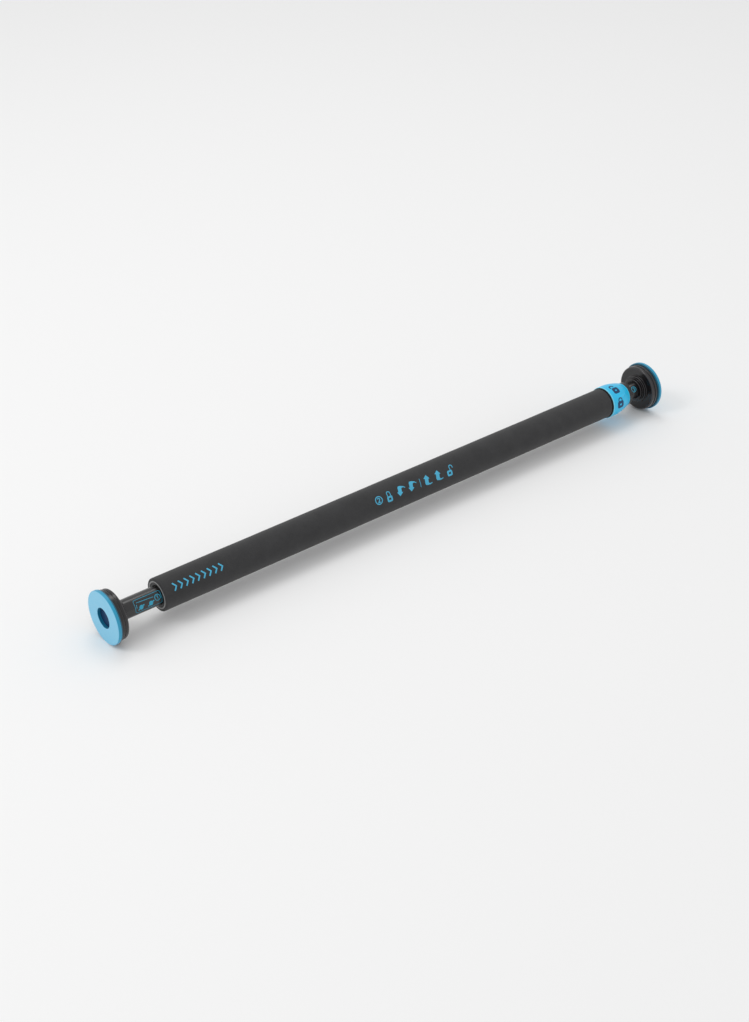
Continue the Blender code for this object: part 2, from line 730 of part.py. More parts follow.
def make_spindle(frame):
    """The right foot's tube, which turns in the main tube, and the wheel that locks it."""
    tube = make_tube(
        "right_tube", SPINDLE_START, SPINDLE_END, INNER_TUBE_RADIUS, INNER_TUBE_WALL,
        BLACK_PAINTED_STEEL, frame,
    )
    turned(
        "spindle_plug",
        [
            (SPINDLE_START - GAP - SPINDLE_FLANGE, INNER_TUBE_RADIUS),
            (SPINDLE_START - GAP, INNER_TUBE_RADIUS),
            (SPINDLE_START - GAP, PLUG_RADIUS),
            (SPINDLE_START + SPINDLE_PLUG_LENGTH, PLUG_RADIUS),
        ],
        None, BRIGHT_STEEL, frame,
    )
    wheel = turned(
        "lock_wheel",
        [(WHEEL_START, WHEEL_RADIUS), (WHEEL_END, WHEEL_RADIUS)],
        [(WHEEL_START, RUNNING_BORE), (WHEEL_END, RUNNING_BORE)],
        BRIGHT_STEEL, frame, segments=OUTER_SEGMENTS,
    )
    notch_size = (2 * NOTCH_LENGTH, NOTCH_WIDTH, 2 * WHEEL_WALL)
    notch_centre = (WHEEL_START, RUNNING_BORE + WHEEL_WALL / 2)
    cut(wheel, blocks("wheel_notches", NOTCH_COUNT, notch_size, notch_centre, frame))
    between_notches = math.pi / NOTCH_COUNT
    pin(
        "wheel_pin", INNER_TUBE_BORE, WHEEL_RADIUS - GAP, SMALL_PIN_RADIUS, ZINC_STEEL, frame,
        WHEEL_PIN_STATION, between_notches,
    )
    drill(
        (tube, wheel), "wheel_pin", INNER_TUBE_BORE * 0.9, WHEEL_RADIUS * 1.1, SMALL_PIN_RADIUS,
        frame, WHEEL_PIN_STATION, between_notches,
    )


def smooth_round_pieces():
    for piece in PARTS.objects:
        if piece.type == "MESH" and not piece.modifiers:
            piece.data.shade_smooth()
            piece.data.set_sharp_from_angle(angle=math.radians(40))


def main():
    left_end = make_frame("frame_left_end")
    make_foot("left", make_frame("frame_left_foot", (LEFT_FACE, 0, 0), parent=left_end))
    make_left_end(left_end)
    wiper = make_frame("frame_wiper", parent=left_end)
    make_wiper(wiper)
    grip = make_frame("frame_grip", parent=wiper)
    main_tube = make_grip(grip)
    make_lock_housing(grip, main_tube)
    make_lock_ring(make_frame("frame_lock_ring", parent=grip))
    make_slider(make_frame("frame_lock_slider", parent=grip))
    spindle = make_frame("frame_spindle", parent=grip)
    make_spindle(spindle)
    right_foot = make_frame("frame_right_foot", (RIGHT_FACE, 0, 0), (0, 0, math.pi), spindle)
    make_foot("right", right_foot)
    smooth_round_pieces()


main()
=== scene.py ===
"""Looks of a doorway pull-up bar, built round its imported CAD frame.

The bar lies along X with +X towards the lock ring end and +Z up. Lengths are metres.
Angles round the bar are turned about +X from straight up, so a quarter turn faces the front.
"""

import json
import math

import bpy
import numpy as np
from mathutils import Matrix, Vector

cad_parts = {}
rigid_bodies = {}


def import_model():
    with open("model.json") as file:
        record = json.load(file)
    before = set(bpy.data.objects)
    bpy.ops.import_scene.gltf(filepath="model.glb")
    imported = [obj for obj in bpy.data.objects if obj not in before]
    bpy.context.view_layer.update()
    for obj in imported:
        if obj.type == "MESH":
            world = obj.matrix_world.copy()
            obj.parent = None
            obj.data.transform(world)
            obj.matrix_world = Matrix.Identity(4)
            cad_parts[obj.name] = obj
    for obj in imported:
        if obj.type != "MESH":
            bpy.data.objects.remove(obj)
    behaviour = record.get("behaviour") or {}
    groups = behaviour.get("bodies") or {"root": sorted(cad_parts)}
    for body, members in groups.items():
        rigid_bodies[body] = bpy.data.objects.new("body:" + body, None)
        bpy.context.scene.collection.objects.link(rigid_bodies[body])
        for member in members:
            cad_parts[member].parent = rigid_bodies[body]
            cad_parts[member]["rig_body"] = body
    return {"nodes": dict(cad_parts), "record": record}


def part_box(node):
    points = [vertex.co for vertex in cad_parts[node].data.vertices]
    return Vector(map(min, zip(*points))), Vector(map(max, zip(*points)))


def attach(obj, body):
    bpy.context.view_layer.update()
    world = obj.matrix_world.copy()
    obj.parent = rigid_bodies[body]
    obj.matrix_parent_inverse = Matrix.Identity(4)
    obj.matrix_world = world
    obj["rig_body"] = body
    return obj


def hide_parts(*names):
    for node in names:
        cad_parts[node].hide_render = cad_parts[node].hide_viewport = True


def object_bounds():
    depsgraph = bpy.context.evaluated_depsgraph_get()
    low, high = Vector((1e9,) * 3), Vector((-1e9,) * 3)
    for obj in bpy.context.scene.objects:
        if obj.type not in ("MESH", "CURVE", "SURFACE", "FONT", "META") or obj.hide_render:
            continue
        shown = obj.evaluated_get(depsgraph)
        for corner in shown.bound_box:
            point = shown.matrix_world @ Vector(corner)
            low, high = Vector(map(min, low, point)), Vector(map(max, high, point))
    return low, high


bl_info = {
    "name": "Pull-up bar looks",
    "version": (1, 0, 0),
    "blender": (4, 5, 0),
    "location": "View3D > Sidebar > Pull-up bar",
    "description": "Builds the visible pieces and finishes of a doorway pull-up bar",
    "category": "Object",
}

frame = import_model()
CAD_BOX = [list(corner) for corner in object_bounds()]
RECORD = frame["record"]
NODES = frame["nodes"]
BODY_OF = {
    node: body for body, members in RECORD["behaviour"]["bodies"].items() for node in members
}

MM = 0.001
TURN = 2 * math.pi
GAP = 0.3 * MM


# Sizes and colours that a user can change

def colour_property(name, description, hex_value):
    return bpy.props.FloatVectorProperty(
        name=name, description=description, default=linear(hex_value), subtype="COLOR",
        size=3, min=0.0, max=1.0,
    )


def length_property(name, description, default):
    return bpy.props.FloatProperty(
        name=name, description=description, default=default, min=0.0, max=0.1, unit="LENGTH",
        subtype="DISTANCE", precision=5,
    )


def linear(hex_value):
    """Linear colour of an sRGB hex value: its channels through the sRGB curve."""
    channels = np.array([int(hex_value[i:i + 2], 16) for i in (1, 3, 5)]) / 255
    curve = np.where(channels <= 0.04045, channels / 12.92, ((channels + 0.055) / 1.055) ** 2.4)
    return tuple(float(c) for c in curve)


class PullUpBarSizes(bpy.types.PropertyGroup):
    """Sizes of the details that the visible pieces add to the CAD shapes."""

    round_steps: bpy.props.IntProperty(
        name="Steps round the bar", description="Faces round each turned piece",
        default=128, min=24, max=256,
    )
    pad_edge: length_property("Pad edge", "Rounding of the pad's front edge", 1.1 * MM)
    pad_rim: length_property("Pad rim", "Width of the pad's rim before its rear band", 4.3 * MM)
    pad_recess: length_property("Pad recess", "Depth of the recess in the pad's face", 4.8 * MM)
    cup_flange: length_property("Cup flange", "Length of the cup's front flange", 4.1 * MM)
    cup_groove: length_property("Cup groove", "Width of the groove behind the flange", 1.3 * MM)
    cup_edge: length_property("Cup edge", "Rounding of the cup's rear edge", 2.2 * MM)
    foam_edge: length_property("Foam edge", "Rounding of the foam's end edges", 1.6 * MM)
    foam_wave: length_property("Foam wave", "Height of the slow unevenness of the foam", 0.07 * MM)
    # Width of the painted highlight ring on the foam's cut ends, beside the bore
    end_highlight_ring: length_property("Foam liner", "Width of the pale cut edge beside the bore", 1.9 * MM)
    ring_rib: length_property("Ring rib", "Height of the mark moulded on the lock ring", 0.8 * MM)
    thread_pitch: length_property("Thread pitch", "Advance of the rod's thread in a turn", 4 * MM)
    thread_depth: length_property("Thread depth", "Depth of the rod's thread", 1.2 * MM)
    print_height: length_property("Print height", "How far ink stands on a surface", 0.06 * MM)


class PullUpBarColours(bpy.types.PropertyGroup):
    """Base colours of the finishes."""

    pad: colour_property("Pads", "Moulded rubber of the pads", "#1A95BB")
    # Painted reflection: the pale colour of the pads' faces stands for the bright floor's sheen on
    # them
    pad_face_sheen: colour_property("Pad faces", "Dry bloom on the pads' faces", "#78C3E3")
    # Painted shade: dark colour of the band behind the pads' rims, where the step lies in shadow
    pad_band_shade: colour_property("Pad bands", "Darker rubber behind the pads' rims", "#05566E")
    # Painted shade: dark navy of the pads' recesses, where shade falls in the hole
    recess: colour_property("Pad recess", "Darker rubber inside the pads' recesses", "#003058")
    black: colour_property("Cups", "Glossy black plastic of the cups and cap", "#0E0C0E")
    tube: colour_property("Tubes", "Black powder coat of the tubes", "#191819")
    foam: colour_property("Foam", "Skin of the foam sleeve", "#343435")
    # Painted highlight: pale grey standing for the light on the foam's cut end faces
    foam_end_highlight: colour_property("Foam ends", "Cut edge beside the bore of the foam", "#9A9A9A")
    ring: colour_property("Lock ring", "Plastic of the lock ring", "#10BDEC")
    foam_print: colour_property("Grip print", "Ink on the foam", "#45AACE")
    label_print: colour_property("Label print", "Ink on the tubes", "#2E9FBE")
    ring_print: colour_property("Ring print", "Ink on the lock ring", "#003A63")


# Surfaces

NEARLY_STRAIGHT = math.radians(89.5)
LARGEST_SHARE = 0.42
SHARP_ANGLE = math.radians(38)
DRILL_SEGMENTS = 24
PLAIN_SEGMENTS = 96


def rounded(corners, steps=5):
    """Closed outline through (x, radius, rounding) corners, as rows of x, radius and edge weight.
    Each corner becomes an arc that touches both of its sides, and takes up at most LARGEST_SHARE
    of each. The edge weight is 1 on arcs and 0 elsewhere. A support point stands off each end of
    an arc."""
    corners = np.array(corners, float)
    rows = []
    for i, (x, radius, rounding) in enumerate(corners):
        here = np.array((x, radius))
        back = corners[i - 1, :2] - here
        ahead = corners[(i + 1) % len(corners), :2] - here
        back_length, ahead_length = np.linalg.norm(back), np.linalg.norm(ahead)
        back, ahead = back / back_length, ahead / ahead_length
        half = math.acos(float(np.clip(back @ ahead, -1, 1))) / 2
        if rounding == 0 or half > NEARLY_STRAIGHT:
            rows.append((x, radius, 0.0))
            continue
        room = LARGEST_SHARE * min(back_length, ahead_length)
        reach = min(rounding / math.tan(half), room)
        arc_radius = reach * math.tan(half)
        middle = (back + ahead) / np.linalg.norm(back + ahead)
        centre = here + middle * arc_radius / math.sin(half)
        first, last = here + back * reach - centre, here + ahead * reach - centre
        sweep = math.pi - 2 * half
        support = 0.25 * reach
        rows.append((*(here + back * (reach + support)), 0.0))
        for k in range(steps + 1):
            # first, turned towards last about the centre by this part of the sweep
            part = k / steps
            turned = math.sin((1 - part) * sweep) * first + math.sin(part * sweep) * last
            rows.append((*(centre + turned / math.sin(sweep)), 1.0))
        rows.append((*(here + ahead * (reach + support)), 0.0))
    return np.array(rows)


def on_bar(x, turn, radius):
    """Points at station x, at this turn round the bar and this distance from its axis: y is minus
    the distance times the sine of the turn, and z is the distance times its cosine."""
    return np.stack(np.broadcast_arrays(x, -radius * np.sin(turn), radius * np.cos(turn)), -1)


def turns(segments):
    """Even turns round the bar, as one row."""
    return np.linspace(0, TURN, segments, endpoint=False)[None, :]


def lathe(outline, segments):
    """Outline of (x, radius, ...) rows carried round the bar."""
    return on_bar(outline[:, :1], turns(segments), outline[:, 1:2])


def rounded_ends(start, end, skin, turn, edge, steps):
    """Quarter rounds from the skin's first row down to the start face and from its last row down
    to the end face, in the order in which a closed outline meets them."""
    arc = np.linspace(0, math.pi / 2, steps)[:, None]
    inset, drop = edge * (1 - np.sin(arc)), edge * (1 - np.cos(arc))
    left = on_bar(start + inset, turn, skin[:1] - drop)[::-1]
    return left, on_bar(end - inset, turn, skin[-1:] - drop)


def grid_faces(points, wrap_rows, wrap_columns, cap_ends=False):
    """Vertices and quads of a grid of points. Rows and columns may join up with their start, a
    row of equal points becomes one pole, and cap_ends closes the ends of a flat-sided bar whose
    rows run along its top and back along its underside."""
    rows, columns = points.shape[:2]
    index = np.arange(rows * columns).reshape(rows, columns)
    spread = np.ptp(points, axis=1).max(axis=1)
    index[spread < 1e-9] = index[spread < 1e-9][:, :1]
    down = np.roll(index, -1, axis=0)
    across = np.roll(index, -1, axis=1)
    both = np.roll(down, -1, axis=1)
    quads = np.stack((index, across, both, down), axis=-1)
    if not wrap_rows:
        quads = quads[:-1]
    if not wrap_columns:
        quads = quads[:, :-1]
    quads = quads.reshape(-1, 4)
    if cap_ends:
        half = columns // 2
        for row, order in ((0, 1), (-1, -1)):
            top, under = index[row, :half], index[row, half:][::-1]
            cap = np.stack((top[:-1], under[:-1], under[1:], top[1:]), axis=-1)
            quads = np.concatenate((quads, cap[:, ::order]))
    return points.reshape(-1, 3), quads


def outward(vertices, quads):
    """The same quads with their faces outwards: reversed when the enclosed volume is negative."""
    a, b, c, d = (vertices[quads[:, i]] for i in range(4))
    volume = np.einsum("ij,ij->i", a, np.cross(b, c) + np.cross(c, d)).sum()
    return quads if volume > 0 else quads[:, ::-1]


def new_object(name, data):
    """A new object in the scene."""
    made = bpy.data.objects.new(name, data)
    bpy.context.scene.collection.objects.link(made)
    return made


def make_piece(name, parts, material, body, stands_for=(), edge=None):
    """One object from (vertices, quads) parts. Quads with two equal corners become triangles."""
    all_vertices, all_quads, offset = [], [], 0
    for vertices, quads in parts:
        all_vertices.append(vertices)
        all_quads.append(outward(vertices, quads) + offset)
        offset += len(vertices)
    vertices, quads = np.concatenate(all_vertices), np.concatenate(all_quads)
    used, renumbered = np.unique(quads, return_inverse=True)
    quads = renumbered.reshape(-1, 4)
    repeats = quads == np.roll(quads, -1, axis=1)
    faces = quads[~repeats.any(axis=1)].tolist()
    for corner in range(4):
        pinched = np.delete(quads[repeats[:, corner]], corner, axis=1)
        faces.extend(pinched.tolist())
    mesh = bpy.data.meshes.new(name)
    mesh.from_pydata(vertices[used], [], faces)
    mesh.polygons.foreach_set("use_smooth", np.ones(len(faces), bool))
    mesh.set_sharp_from_angle(angle=SHARP_ANGLE)
    if edge is not None:
        layer = mesh.attributes.new("edge", "FLOAT", "POINT")
        layer.data.foreach_set("value", edge.ravel()[used].astype(np.float32))
    mesh.materials.append(material)
    piece = new_object(name, mesh)
    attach(piece, body)
    if stands_for:
        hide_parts(*stands_for)
    return piece


def node_piece(name, node, faces, slot, edge=None):
    """One object that stands for a CAD node, rides on its body and wears a slot's finish."""
    return make_piece(name, [faces], finish(slot), BODY_OF[node], (node,), edge)


def turned_piece(name, node, corners, slot, segments=None):
    """A rounded outline turned round the bar, which stands for a CAD node."""
    outline = rounded(corners)
    segments = segments or sizes().round_steps
    faces = grid_faces(lathe(outline, segments), True, True)
    return node_piece(name, node, faces, slot, np.repeat(outline[:, 2], segments))


def drill(piece, station, radius, turn, start, end):
    """Cuts a round hole through the piece, along the line out from the bar at this turn."""
    around = turns(DRILL_SEGMENTS)
    distance = np.array([start, start, end, end])[:, None]
    size = np.array([0.0, radius, radius, 0.0])[:, None]
    along = station + size * np.cos(around)
    side = size * np.sin(around)
    y = -distance * math.sin(turn) - side * math.cos(turn)
    z = distance * math.cos(turn) - side * math.sin(turn)
    faces = grid_faces(np.stack(np.broadcast_arrays(along, y, z), -1), False, True)
    tool = make_piece("drill", [faces], piece.data.materials[0], piece["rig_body"])
    hole = piece.modifiers.new("hole", "BOOLEAN")
    hole.solver = "EXACT"
    hole.object = tool
    bpy.context.view_layer.update()
    graph = bpy.context.evaluated_depsgraph_get()
    cut_mesh = bpy.data.meshes.new_from_object(piece.evaluated_get(graph))
    piece.modifiers.remove(hole)
    piece.data = cut_mesh
    bpy.data.objects.remove(tool)


# Finishes

def add_node(tree, kind, inputs=None, **settings):
    """Adds a node with its settings. inputs maps its sockets to values or to other sockets."""
    node = tree.nodes.new(kind)
    for name, value in settings.items():
        setattr(node, name, value)
    for name, value in (inputs or {}).items():
        if isinstance(value, bpy.types.NodeSocket):
            tree.links.new(value, node.inputs[name])
        else:
            node.inputs[name].default_value = value
    return node


def start_finish(name, **values):
    """New material whose Principled shader has these uniform values, with its node tree, its
    shader and its Object coordinates."""
    material = bpy.data.materials.new(name)
    material.use_nodes = True
    tree = material.node_tree
    shader = tree.nodes["Principled BSDF"]
    for socket, value in values.items():
        shader.inputs[socket.replace("_", " ")].default_value = value
    place = add_node(tree, "ShaderNodeTexCoord").outputs["Object"]
    return material, tree, shader, place


def shade(colour, factor):
    """The colour with its brightness multiplied, as a socket value."""
    return (*(min(1.0, c * factor) for c in colour), 1.0)


def noise(tree, place, size, detail, roughness):
    """Socket of a noise whose patches are about this size."""
    return add_node(
        tree, "ShaderNodeTexNoise",
        {"Vector": place, "Scale": 1 / size, "Detail": detail, "Roughness": roughness},
    ).outputs["Fac"]


def remapped(tree, value, source, target=(0.0, 1.0)):
    """Socket that carries a value from the source range to the target range, and stays in it."""
    return add_node(
        tree, "ShaderNodeMapRange",
        {
            "Value": value, "From Min": source[0], "From Max": source[1],
            "To Min": target[0], "To Max": target[1],
        },
    ).outputs["Result"]


def mottled(tree, cloud, span, dark, light):
    """Socket that runs from the dark to the light colour as the cloud socket crosses the span."""
    ramp = add_node(tree, "ShaderNodeValToRGB", {"Fac": cloud})
    for element, position, colour in zip(ramp.color_ramp.elements, span, (dark, light)):
        element.position = position
        element.color = colour
    return ramp.outputs["Color"]


def add_bump(tree, height, strength, depth):
    """Bumps the surface by a height socket, up to a depth in metres."""
    bump = add_node(
        tree, "ShaderNodeBump", {"Height": height, "Strength": strength, "Distance": depth}
    )
    tree.links.new(bump.outputs["Normal"], tree.nodes["Principled BSDF"].inputs["Normal"])


NOISE_SPAN = (0.3, 0.7)
GRAINS_IN_CLOUD = 20
# Brightness factor of the colour on rounded edges, where the edge weight is 1
EDGE_LIGHTENING = 1.25
GLOSS_CHANGE = 0.15


def grained(name, colour, grain, depth, variation, roughness, edge_colour=None, **values):
    """A finish with three details: mottling of the colour over about twenty grains, roughness
    that varies with it, and a bump of the given grain size and depth. Where the piece's edge
    weight is 1, the colour is the edge colour, which is a little lighter unless it is given; on
    the pads that weight marks the face, whose given colour is a painted floor reflection."""
    material, tree, shader, place = start_finish(name, **values)
    cloud = noise(tree, place, GRAINS_IN_CLOUD * grain, 4.0, 0.6)
    tint = mottled(
        tree, cloud, NOISE_SPAN, shade(colour, 1 - variation), shade(colour, 1 + variation)
    )
    tree.links.new(tint, shader.inputs["Base Color"])
    edge = add_node(tree, "ShaderNodeAttribute", attribute_name="edge")
    insert_tint(material, edge.outputs["Fac"], edge_colour or shade(colour, EDGE_LIGHTENING)[:3])
    smoothest = roughness * (1 - GLOSS_CHANGE)
    roughest = min(1.0, roughness * (1 + GLOSS_CHANGE))
    gloss = remapped(tree, cloud, NOISE_SPAN, (smoothest, roughest))
    tree.links.new(gloss, shader.inputs["Roughness"])
    add_bump(tree, noise(tree, place, grain, 3.0, 0.55), 1.0, depth)
    return material


def bar_place(tree, place):
    """Sockets with each point's distance from the middle of the bar and from its axis."""
    split = add_node(tree, "ShaderNodeSeparateXYZ", {"Vector": place})
    along = add_node(tree, "ShaderNodeMath", {0: split.outputs["X"]}, operation="ABSOLUTE")
    across = add_node(
        tree, "ShaderNodeCombineXYZ", {"Y": split.outputs["Y"], "Z": split.outputs["Z"]}
    )
    out = add_node(
        tree, "ShaderNodeVectorMath", {0: across.outputs["Vector"]}, operation="LENGTH"
    )
    return along.outputs["Value"], out.outputs["Value"]


def insert_tint(material, mask, colour):
    """Lays another colour over the base colour where the mask socket is 1."""
    tree = material.node_tree
    shader = tree.nodes["Principled BSDF"]
    under = shader.inputs["Base Color"].links[0].from_socket
    # The colour sockets of a Mix node share their names with its number sockets
    over = add_node(tree, "ShaderNodeMix", {"Factor": mask}, data_type="RGBA")
    tree.links.new(under, over.inputs[6])
    over.inputs[7].default_value = (*colour, 1.0)
    tree.links.new(over.outputs[2], shader.inputs["Base Color"])


def moulded_rubber():
    """Pads: moulded rubber with a satin skin. The eye sees a saturated blue rim with a darker band
    behind it, which is painted shade of the step between rim and cup, a paler face, which is a
    painted reflection of the bright floor, a fine stipple from the mould, and a recess darkened by
    painted shade and made dull. The stipple is drawn at 0.9 mm, about twice its real size, so that
    it shows."""
    material = grained(
        "moulded_rubber", colours().pad, 0.9 * MM, 0.03 * MM, 0.05, 0.42, colours().pad_face_sheen,
        IOR=1.52, Sheen_Weight=0.15, Sheen_Roughness=0.4,
    )
    tree = material.node_tree
    soft = 0.1 * MM
    along, out = bar_place(tree, tree.nodes["Texture Coordinate"].outputs["Object"])
    # Painted shade: inside the recess radius the colour darkens to the recess colour, and the
    # surface is made less shiny
    recess = remapped(tree, out, (RECESS_RADIUS + soft, RECESS_RADIUS - soft))
    insert_tint(material, recess, colours().recess)
    dull = remapped(tree, recess, (0.0, 1.0), (0.5, 0.1))
    tree.links.new(dull, tree.nodes["Principled BSDF"].inputs["Specular IOR Level"])
    # Painted shade: behind the rim and outside the recess, the pad takes the dark colour of the
    # shadowed step
    rim_end = ends("right_pad")[1] - sizes().pad_rim
    band = remapped(tree, along, (rim_end + soft, rim_end - soft))
    outside = add_node(
        tree, "ShaderNodeMath", {0: out, 1: 1.5 * RECESS_RADIUS}, operation="GREATER_THAN"
    )
    both = add_node(
        tree, "ShaderNodeMath", {0: band, 1: outside.outputs["Value"]}, operation="MULTIPLY"
    )
    insert_tint(material, both.outputs["Value"], colours().pad_band_shade)
    return material


def glossy_abs():
    """Cups and cap: black moulded ABS with a polished mould finish. The eye sees deep black with
    clear soft highlights, a faint flow mottle and lighter rounded edges."""
    return grained(
        "glossy_abs", colours().black, 1.2 * MM, 0.012 * MM, 0.15, 0.2, linear("#2B292B"),
        IOR=1.54,
    )


def moulded_nylon():
    """Housing, bushes and plugs: black glass-filled nylon. The eye sees a dull near-black with a
    slightly rough, fibrous skin."""
    return grained("moulded_nylon", linear("#1E1E1F"), 0.7 * MM, 0.03 * MM, 0.2, 0.5, IOR=1.53)


def powder_coat():
    """Tubes: black powder coat over steel. The eye sees a gloss black with orange peel about
    1.5 mm across, which ripples the long highlight."""
    return grained(
        "powder_coat", colours().tube, 1.5 * MM, 0.02 * MM, 0.1, 0.26, linear("#2A282A"),
        IOR=1.5, Coat_Weight=0.3, Coat_Roughness=0.15,
    )


def closed_cell_foam():
    """Grip: nitrile foam sleeve. The eye sees a dead matte charcoal with tiny pores, soft cloudy
    shade changes and a faint sheen along its outline, and a pale ring beside the bore on each cut
    end, which is a painted highlight of the light on the end faces. The pores are drawn 1.1 mm
    apart, three times their real spacing, so that they show."""
    material, tree, shader, place = start_finish(
        "closed_cell_foam", Roughness=0.9, IOR=1.45, Specular_IOR_Level=0.25,
        Sheen_Weight=0.12, Sheen_Roughness=0.6,
    )
    cloud = noise(tree, place, 22 * MM, 5.0, 0.65)
    foam = colours().foam
    tint = mottled(tree, cloud, (0.32, 0.68), shade(foam, 0.86), shade(foam, 1.12))
    pores = add_node(
        tree, "ShaderNodeTexVoronoi", {"Vector": place, "Scale": 1 / (1.1 * MM)},
        feature="SMOOTH_F1",
    ).outputs["Distance"]
    speck = remapped(tree, pores, (0.05, 0.45), (0.72, 1.0))
    spotted = add_node(tree, "ShaderNodeVectorMath", {0: tint, 3: speck}, operation="SCALE")
    tree.links.new(spotted.outputs["Vector"], shader.inputs["Base Color"])
    # Painted highlight: where the cut weight is 1, beside the bore on the end faces, the colour is
    # the pale end highlight
    cut = add_node(tree, "ShaderNodeAttribute", attribute_name="cut")
    insert_tint(material, cut.outputs["Fac"], colours().foam_end_highlight)
    grain = noise(tree, place, 2.5 * MM, 4.0, 0.7)
    height = add_node(tree, "ShaderNodeMath", {0: pores, 1: grain}, operation="ADD")
    add_bump(tree, height.outputs["Value"], 0.8, 0.09 * MM)
    return material


def satin_abs():
    """Lock ring: cyan ABS from a satin mould. The eye sees a bright, even, slightly translucent
    blue with soft highlights and paler edges."""
    return grained(
        "satin_abs", colours().ring, 0.8 * MM, 0.02 * MM, 0.05, 0.34, linear("#7BDCF6"),
        IOR=1.54, Coat_Weight=0.15, Coat_Roughness=0.25,
    )


def screen_ink(name, colour):
    """Prints: one layer of screen ink. The eye sees a flat, slightly uneven colour that is a
    little thinner in its middle, with a dull surface."""
    return grained(name, colour, 0.6 * MM, 0.015 * MM, 0.1, 0.55, IOR=1.48)


def zinc_plate():
    """Screws, rod and pins: bright zinc plate on steel. The eye sees a bluish silver with fine
    streaks and cloudy passivation."""
    return grained(
        "zinc_plate", linear("#C9CCD1"), 0.5 * MM, 0.01 * MM, 0.12, 0.3, Metallic=1.0
    )


def ground_steel():
    """Anchor, block, wheel and slider: turned and ground steel. The eye sees a grey metal with
    fine rings left by the tool."""
    return grained(
        "ground_steel", linear("#B4B6B8"), 0.4 * MM, 0.012 * MM, 0.08, 0.24, Metallic=1.0,
    )


def sintered_bronze():
    """Thrust washer: oiled sintered bronze. The eye sees a warm brown metal with dark pores."""
    return grained(
        "sintered_bronze", linear("#B08A52"), 0.35 * MM, 0.02 * MM, 0.2, 0.42, Metallic=1.0,
    )


def white_acetal():
    """Nut and bushes: natural acetal. The eye sees a milky, slightly waxy white."""
    return grained(
        "white_acetal", linear("#E9E8E1"), 0.8 * MM, 0.01 * MM, 0.03, 0.35, IOR=1.48,
    )


FINISHES = {
    "pad_rubber": moulded_rubber,
    "black_abs": glossy_abs,
    "black_nylon": moulded_nylon,
    "black_painted_steel": powder_coat,
    "nbr_foam": closed_cell_foam,
    "cyan_abs": satin_abs,
    "zinc_steel": zinc_plate,
    "ground_steel": ground_steel,
    "bronze": sintered_bronze,
    "white_acetal": white_acetal,
}
_made = {}


def finish(slot):
    """The finish of a record slot, made once."""
    if slot not in _made:
        _made[slot] = FINISHES[slot]()
    return _made[slot]


def sizes():
    return bpy.context.scene.pull_up_bar_sizes


def colours():
    return bpy.context.scene.pull_up_bar_colours


# Places that follow from the CAD frame

def ends(node):
    """Lowest and highest x of a CAD node."""
    low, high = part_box(node)
    return low.x, high.x


def outer_radius(node):
    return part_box(node)[1].z


def foot(side):
    """Station of the pad's outer face and the direction from it into the bar."""
    low, high = ends(side + "_pad")
    return (low, 1.0) if side == "left" else (high, -1.0)


def placed(side, corners):
    """Corners measured from a pad's outer face, moved to their stations along the bar."""
    face, inward = foot(side)
    return [(face + inward * along, radius, rounding) for along, radius, rounding in corners]


PAD_THICKNESS = 6 * MM
PAD_BAND_DEPTH = 0.7 * MM
# Reach from the pad's face over which it takes the pale colour of the painted floor reflection
PAD_SHEEN_REACH = 0.35 * MM
RECESS_RADIUS = 13.5 * MM
CUP_WALL = 2.5 * MM
CUP_GROOVE_DEPTH = 1.2 * MM
CUP_FLOOR = 3.2 * MM
DRUM_INSET = 0.5 * MM
SPIGOT_WALL = 3 * MM
CUP_DEPTH = 16.5 * MM
HUB_RADII = (20 * MM, 16.5 * MM)
HUB_STEP = 3.5 * MM
SOCKET_RADIUS = 15.5 * MM
SCREW_BORE = 2.3 * MM
SCREW_SEAT = 9 * MM
SCREW_HEAD_BORE = 5.8 * MM
SOCKET_FLOOR = 12 * MM


def make_pad(side):
    """Rubber pad: a disc with a rounded front edge and a blind recess, and the ring behind it
    that plugs into the cup."""
    length = abs(np.subtract(*ends(side + "_pad")))
    radius = outer_radius(side + "_pad")
    spigot = outer_radius(side + "_cup") - CUP_WALL - GAP
    recess = sizes().pad_recess
    rim = sizes().pad_rim
    band = radius - PAD_BAND_DEPTH
    corners = [
        (0, RECESS_RADIUS, 0.6 * MM),
        (0, radius, sizes().pad_edge),
        (rim, radius, 0.4 * MM),
        (rim, band, 0.15 * MM),
        (PAD_THICKNESS, band, 0.3 * MM),
        (PAD_THICKNESS, spigot, 0.2 * MM),
        (length, spigot, 0.6 * MM),
        (length, spigot - SPIGOT_WALL, 0.6 * MM),
        (PAD_THICKNESS, spigot - SPIGOT_WALL, 0.4 * MM),
        (PAD_THICKNESS, 0, 0),
        (recess, 0, 0),
        (recess, RECESS_RADIUS, 0.8 * MM),
    ]
    outline = rounded(placed(side, corners), steps=6)
    # The rows start and end on the axis, so that the grid closes in two poles
    after_first_pole = int(np.argmax(outline[:, 1] == 0)) + 1
    outline = np.roll(outline, -after_first_pole, axis=0)
    segments = sizes().round_steps
    # Rows on the pad's face get weight 1, so the face takes the pale colour of a painted floor
    # reflection
    from_face = np.abs(outline[:, 0] - foot(side)[0])
    face_sheen = np.clip(1.5 - from_face / PAD_SHEEN_REACH, 0, 1)
    faces = grid_faces(lathe(outline, segments), False, True)
    node_piece(
        side + "_rubber_pad", side + "_pad", faces, "pad_rubber", np.repeat(face_sheen, segments)
    )


